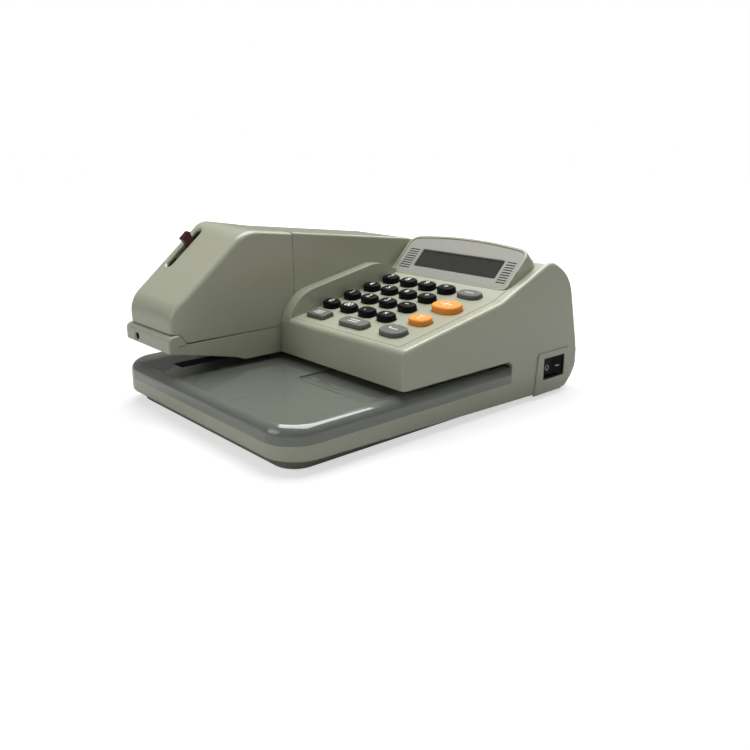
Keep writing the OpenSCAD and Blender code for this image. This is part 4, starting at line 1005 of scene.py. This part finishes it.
dress(skirt, "housing", "head_skirt", "casing_plastic")

# %% Nose bar
NOSE_LEFT, NOSE_RIGHT, NOSE_BACK, NOSE_TOP, LUG_WIDTH = -93, -26.5, -134.77, 62.5, 3.1
nose = prism("nose_bar_cap", rounded([(FRONT, 50), (NOSE_BACK, 48.5), (NOSE_BACK, NOSE_TOP),
                                      (FRONT, 61.5)], [1.5, 0, 0, 4]), NOSE_LEFT, NOSE_RIGHT, "X")
round_edges(nose, lambda a, b: abs(a.x - b.x) < 0.01 and not (abs(a.y - NOSE_BACK) < 0.01
            and abs(b.y - NOSE_BACK) < 0.01), 2.4)
lug_path = [(-134.9, 55.15), (-134.9, NOSE_TOP), (-133.25, NOSE_TOP), (-127.74, 55.15)]
for side, x0, x1 in ((NOSE_LEFT, NOSE_LEFT, NOSE_LEFT + LUG_WIDTH),
                     (NOSE_RIGHT, NOSE_RIGHT - LUG_WIDTH, NOSE_RIGHT)):
    lug = prism("nose_lug", lug_path, x0, x1, "X")
    round_edges(lug, lambda a, b: abs(a.x - side) < 0.01 and abs(b.x - side) < 0.01
                and (min(a.y, b.y) > -134.8 or min(a.z, b.z) > 62), 0.6, 3)
    cut(nose, lug, "UNION")
cut(nose, rod("tool", 4.25, 20, spot(LOCK_X, FRONT - 1, LOCK_Z) @ ALONG_Y, 40))
dress(nose, "housing", "nose_bar", "casing_plastic")

# %% [markdown]
# ## Setting lever
# A small maroon paddle stands out of the slot. Its head is cut at a slant and grows a little
# towards the tip, and its hub turns on a pin under the slope. It is modelled upright and tipped
# last, which keeps its outline easy to read.

# %% Lever
lever = prism("lever_paddle", [(-3, -2), (3, -2), (3, 35.4), (4.3, 41.2), (3.4, 41.6),
                               (-3.6, 40.2), (-4.0, 39.6), (-3, 35.4)], -3, 3, "X")
round_edges(lever, lambda a, b: True, 0.55, 3)
cut(lever, rod("hub", 5, 6, spot(-3, 0, 0) @ ALONG_X, 40), "UNION")
cut(lever, rod("tool", 2.55, 10, spot(-5, 0, 0) @ ALONG_X, 40))
moved(lever, slope_matrix @ spot(0, 0, -LEVER_DEPTH)
      @ Matrix.Rotation(math.radians(-10), 4, "X"))
dress(lever, "lever", "setting_lever", "lever_plastic")

# %% [markdown]
# ## Keys
# The number keys are tall black ovals; the others are lower pads. A key is a loft: a straight
# wall that starts under the deck, then a quarter round up to a flat top. Two tabs under the deck
# hold it in. The legend is a thin flat glyph that is joined on top, as a print would be. The
# black key is modelled once and copied, each copy with its own mesh.

# %% Key shape
KEY_FOOT, TAB_REACH, TAB_THICK = -3.95, 1.4, 1.2


def key_cap(name, w, d, h, radius, rim=1.9):
    """One key in its own frame: straight walls, a rounded rim and a flat top."""
    rings = [at(KEY_FOOT, key_outline(w, d, radius)), at(h - rim, key_outline(w, d, radius))]
    for k in range(1, 9):
        angle = math.radians(90) * k / 8
        rings.append(at(h - rim + rim * math.sin(angle),
                        key_outline(w, d, radius, -rim * (1 - math.cos(angle)))))
    cap = loft(name, rings)
    cut(cap, block("tab", (-w / 4, -d / 2 - TAB_REACH, KEY_FOOT),
                   (w / 4, d / 2 + TAB_REACH, KEY_FOOT + TAB_THICK)), "UNION")
    return finish_mesh(cap, 40)


def copied(piece, name):
    """A copy with its own mesh."""
    focus(piece)
    bpy.ops.object.duplicate()
    twin = bpy.context.object
    twin.name = twin.data.name = name
    return twin


master = key_cap("key_master", KEY_W, KEY_D, KEY_H, 0)
paint_node(master, MATERIALS["black_plastic"])
print("one oval key:", len(master.data.polygons), "faces")


# %% Legends
PRINT_THICK = 0.08


def glyph(text, size, height):
    """A plain number or sign as a thin flat mesh, centred, on a key's top."""
    bpy.ops.object.select_all(action="DESELECT")
    bpy.ops.object.text_add(location=(0, 0, 0))
    item = bpy.context.object
    item.data.body = text
    item.data.size = size * MM
    item.data.align_x = "CENTER"
    item.data.align_y = "CENTER"
    item.data.extrude = PRINT_THICK / 2 * MM
    item.data.offset = 0.12 * MM
    item.data.resolution_u = 4
    bpy.ops.object.convert(target="MESH")
    return moved(bpy.context.object, spot(0, 0, height))


def bars(height, *boxes):
    """A sign made of thin bars on a key's top."""
    low, high = height - PRINT_THICK / 2, height + PRINT_THICK / 2
    return joined(*[block("bar", (x0, y0, low), (x1, y1, high)) for x0, y0, x1, y1 in boxes])


def print_on(sign, cap):
    """Paints a sign white and joins it to its key."""
    paint_node(sign, legend_white)
    joined(cap, sign)


print("legends can be printed")

# %% Number keys
for sign, name, x, y in KEYS:
    cap = copied(master, "cap_" + name)
    print_on(glyph(sign, 7.4, KEY_H), cap)
    moved(cap, deck_matrix(x, y))
    settle(cap, "button_" + name, "key_" + name)
bpy.data.objects.remove(master, do_unlink=True)
print("number keys:", len(KEYS))

# %% Grey and orange keys
SIGNS = {"menu": [(-4.5, -0.4, 4.5, 0.4), (-4.5, 1.6, 4.5, 2.4), (-4.5, -2.4, 4.5, -1.6)],
         "total": [(-5, 0.9, 5, 1.9), (-5, -1.9, 5, -0.9)],
         "clear": [(-4.5, -0.5, 4.5, 0.5), (-4.5, -0.5, -3.6, 2.6)],
         "feed": [(-0.5, -3, 0.5, 3), (-2.5, 1.9, 2.5, 2.9)],
         "print": [(-5.5, -0.5, 5.5, 0.5), (-0.5, -3.5, 0.5, 3.5)],
         "reset": [(-4, -0.4, 4, 0.4)]}
for name, (x, y, w, d, h, radius) in PADS.items():
    slot, rim = ("orange_key", 1.6) if name in ("feed", "print") else ("grey_key", 1.1)
    cap = key_cap("cap_" + name, w, d, h, radius, rim)
    paint_node(cap, MATERIALS[slot])
    print_on(bars(h, *SIGNS[name]), cap)
    moved(cap, deck_matrix(x, y))
    settle(cap, "button_" + name, "key_" + name)
print("keys in all:", len(KEYS) + len(PADS))

# %% [markdown]
# ## Display
# The bezel is a satin plate with an arched top. Nine fine grooves run beside each end of the
# window, and the window itself is a dark glossy pane. The grooves are too narrow to darken by
# themselves at this distance, so a dark strip of painted shade lies in each, where their shadow
# would be.

# %% Display bezel
WINDOW_PLACE = (2, 15.95)
GROOVE_LOW, GROOVE_PITCH, GROOVE_WIDTH, GROOVE_DEPTH = 4.4, 2.3, 1.05, 0.9
GROOVE_ENDS = [(-55.0, -43.4), (47.4, 56.0)]
bezel = prism("bezel_plate", bezel_outline(0.0), -1.6, -0.4)
round_edges(bezel, lambda a, b: min(a.z, b.z) > -0.45, 0.35, 3)
cut(bezel, loft("tool", [at(z, shifted(soft_box(w, h, r), *WINDOW_PLACE)) for z, w, h, r in
                         [(-3, 85, 16.8, 0.8), (-0.9, 85, 16.8, 0.8), (0.4, 87.2, 19, 1.6)]]))
grooves, shadows = [], []
for x0, x1 in GROOVE_ENDS:
    for k in range(9):
        v = GROOVE_LOW + GROOVE_PITCH * k
        grooves.append(block("groove", (x0, v, -GROOVE_DEPTH), (x1, v + GROOVE_WIDTH, 0.5)))
        # Painted shade: a dark strip at the bottom of each groove stands in for its shadow.
        shadows.append(block("shadow", (x0 + 0.05, v + 0.05, -GROOVE_DEPTH - 0.2),
                             (x1 - 0.05, v + GROOVE_WIDTH - 0.05, -GROOVE_DEPTH + 0.04)))
cut(bezel, joined(*grooves))
finish_mesh(bezel)
paint_node(bezel, MATERIALS["bezel_grey"])
shadow = joined(*shadows)
paint_node(shadow, painted_groove_shade)
joined(bezel, shadow)
moved(bezel, display_matrix)
settle(bezel, "housing", "display_bezel")
print("bezel:", len(bezel.data.polygons), "faces")

# %% Window pane
pane_outline = shifted(soft_box(86.6, 18.4, 0.8), *WINDOW_PLACE)
pane = loft("window_pane", [at(z, pane_outline) for z in (-2.6, -1.65)])
moved(pane, display_matrix)
dress(pane, "housing", "display_window", "window_clear")

# %% [markdown]
# ## Power switch
# A black rocker in a black frame, with a ring for off and a stroke for on. The rocker is a prism
# of its bent side profile, laid flat first so that both signs can be placed on its two slopes.

# %% Switch frame
ROCKER_X = 103.5
switch = switch_box("switch_frame_body", RIGHT, RIGHT + 1.0, 12.9, 8.4)
round_edges(switch, lambda a, b: min(a.x, b.x) > RIGHT + 0.95, 0.45, 3)
cut(switch, switch_box("tool", RIGHT - 20, RIGHT + 0.2, 11.9, 7.4), "UNION")
cut(switch, switch_box("tool", ROCKER_X - 6, RIGHT + 2, 11.4, 6.9))
dress(switch, "housing", "switch_body", "black_plastic")

# %% Rocker
SIGN_REACH, REST_TILT = 5.8, -6
rocker = prism("rocker_paddle", [(-3.2, -4), (1, -10.5), (4.4, -10.5), (3.2, 0), (4.4, 10.5),
                                 (1, 10.5), (-3.2, 4)], -6.5, 6.5)
round_edges(rocker, lambda a, b: min(a.x, b.x) > 3.1 or abs(a.z - b.z) > 1, 0.4, 2)
finish_mesh(rocker)
paint_node(rocker, MATERIALS["black_plastic"])
slant = math.atan2(1.2, 10.5)
bpy.ops.object.select_all(action="DESELECT")
bpy.ops.mesh.primitive_torus_add(major_radius=1.9 * MM, minor_radius=0.28 * MM,
                                 major_segments=32, minor_segments=8,
                                 rotation=(0, math.radians(90), 0))
ring = moved(bpy.context.object, Matrix.Identity(4))
moved(ring, spot(3.85, -SIGN_REACH, 0) @ Matrix.Rotation(slant, 4, "Z"))
stroke = moved(block("stroke", (-0.2, -2.0, -0.32), (0.2, 2.0, 0.32)),
               spot(3.8, SIGN_REACH, 0) @ Matrix.Rotation(-slant, 4, "Z"))
for sign in (ring, stroke):
    paint_node(sign, legend_white)
joined(rocker, ring, stroke)
moved(rocker, spot(ROCKER_X, SWITCH_Y, SWITCH_Z)
      @ Matrix.Rotation(math.radians(REST_TILT), 4, "Z"))
settle(rocker, "rocker", "switch_rocker")
print("rocker:", len(rocker.data.polygons), "faces")
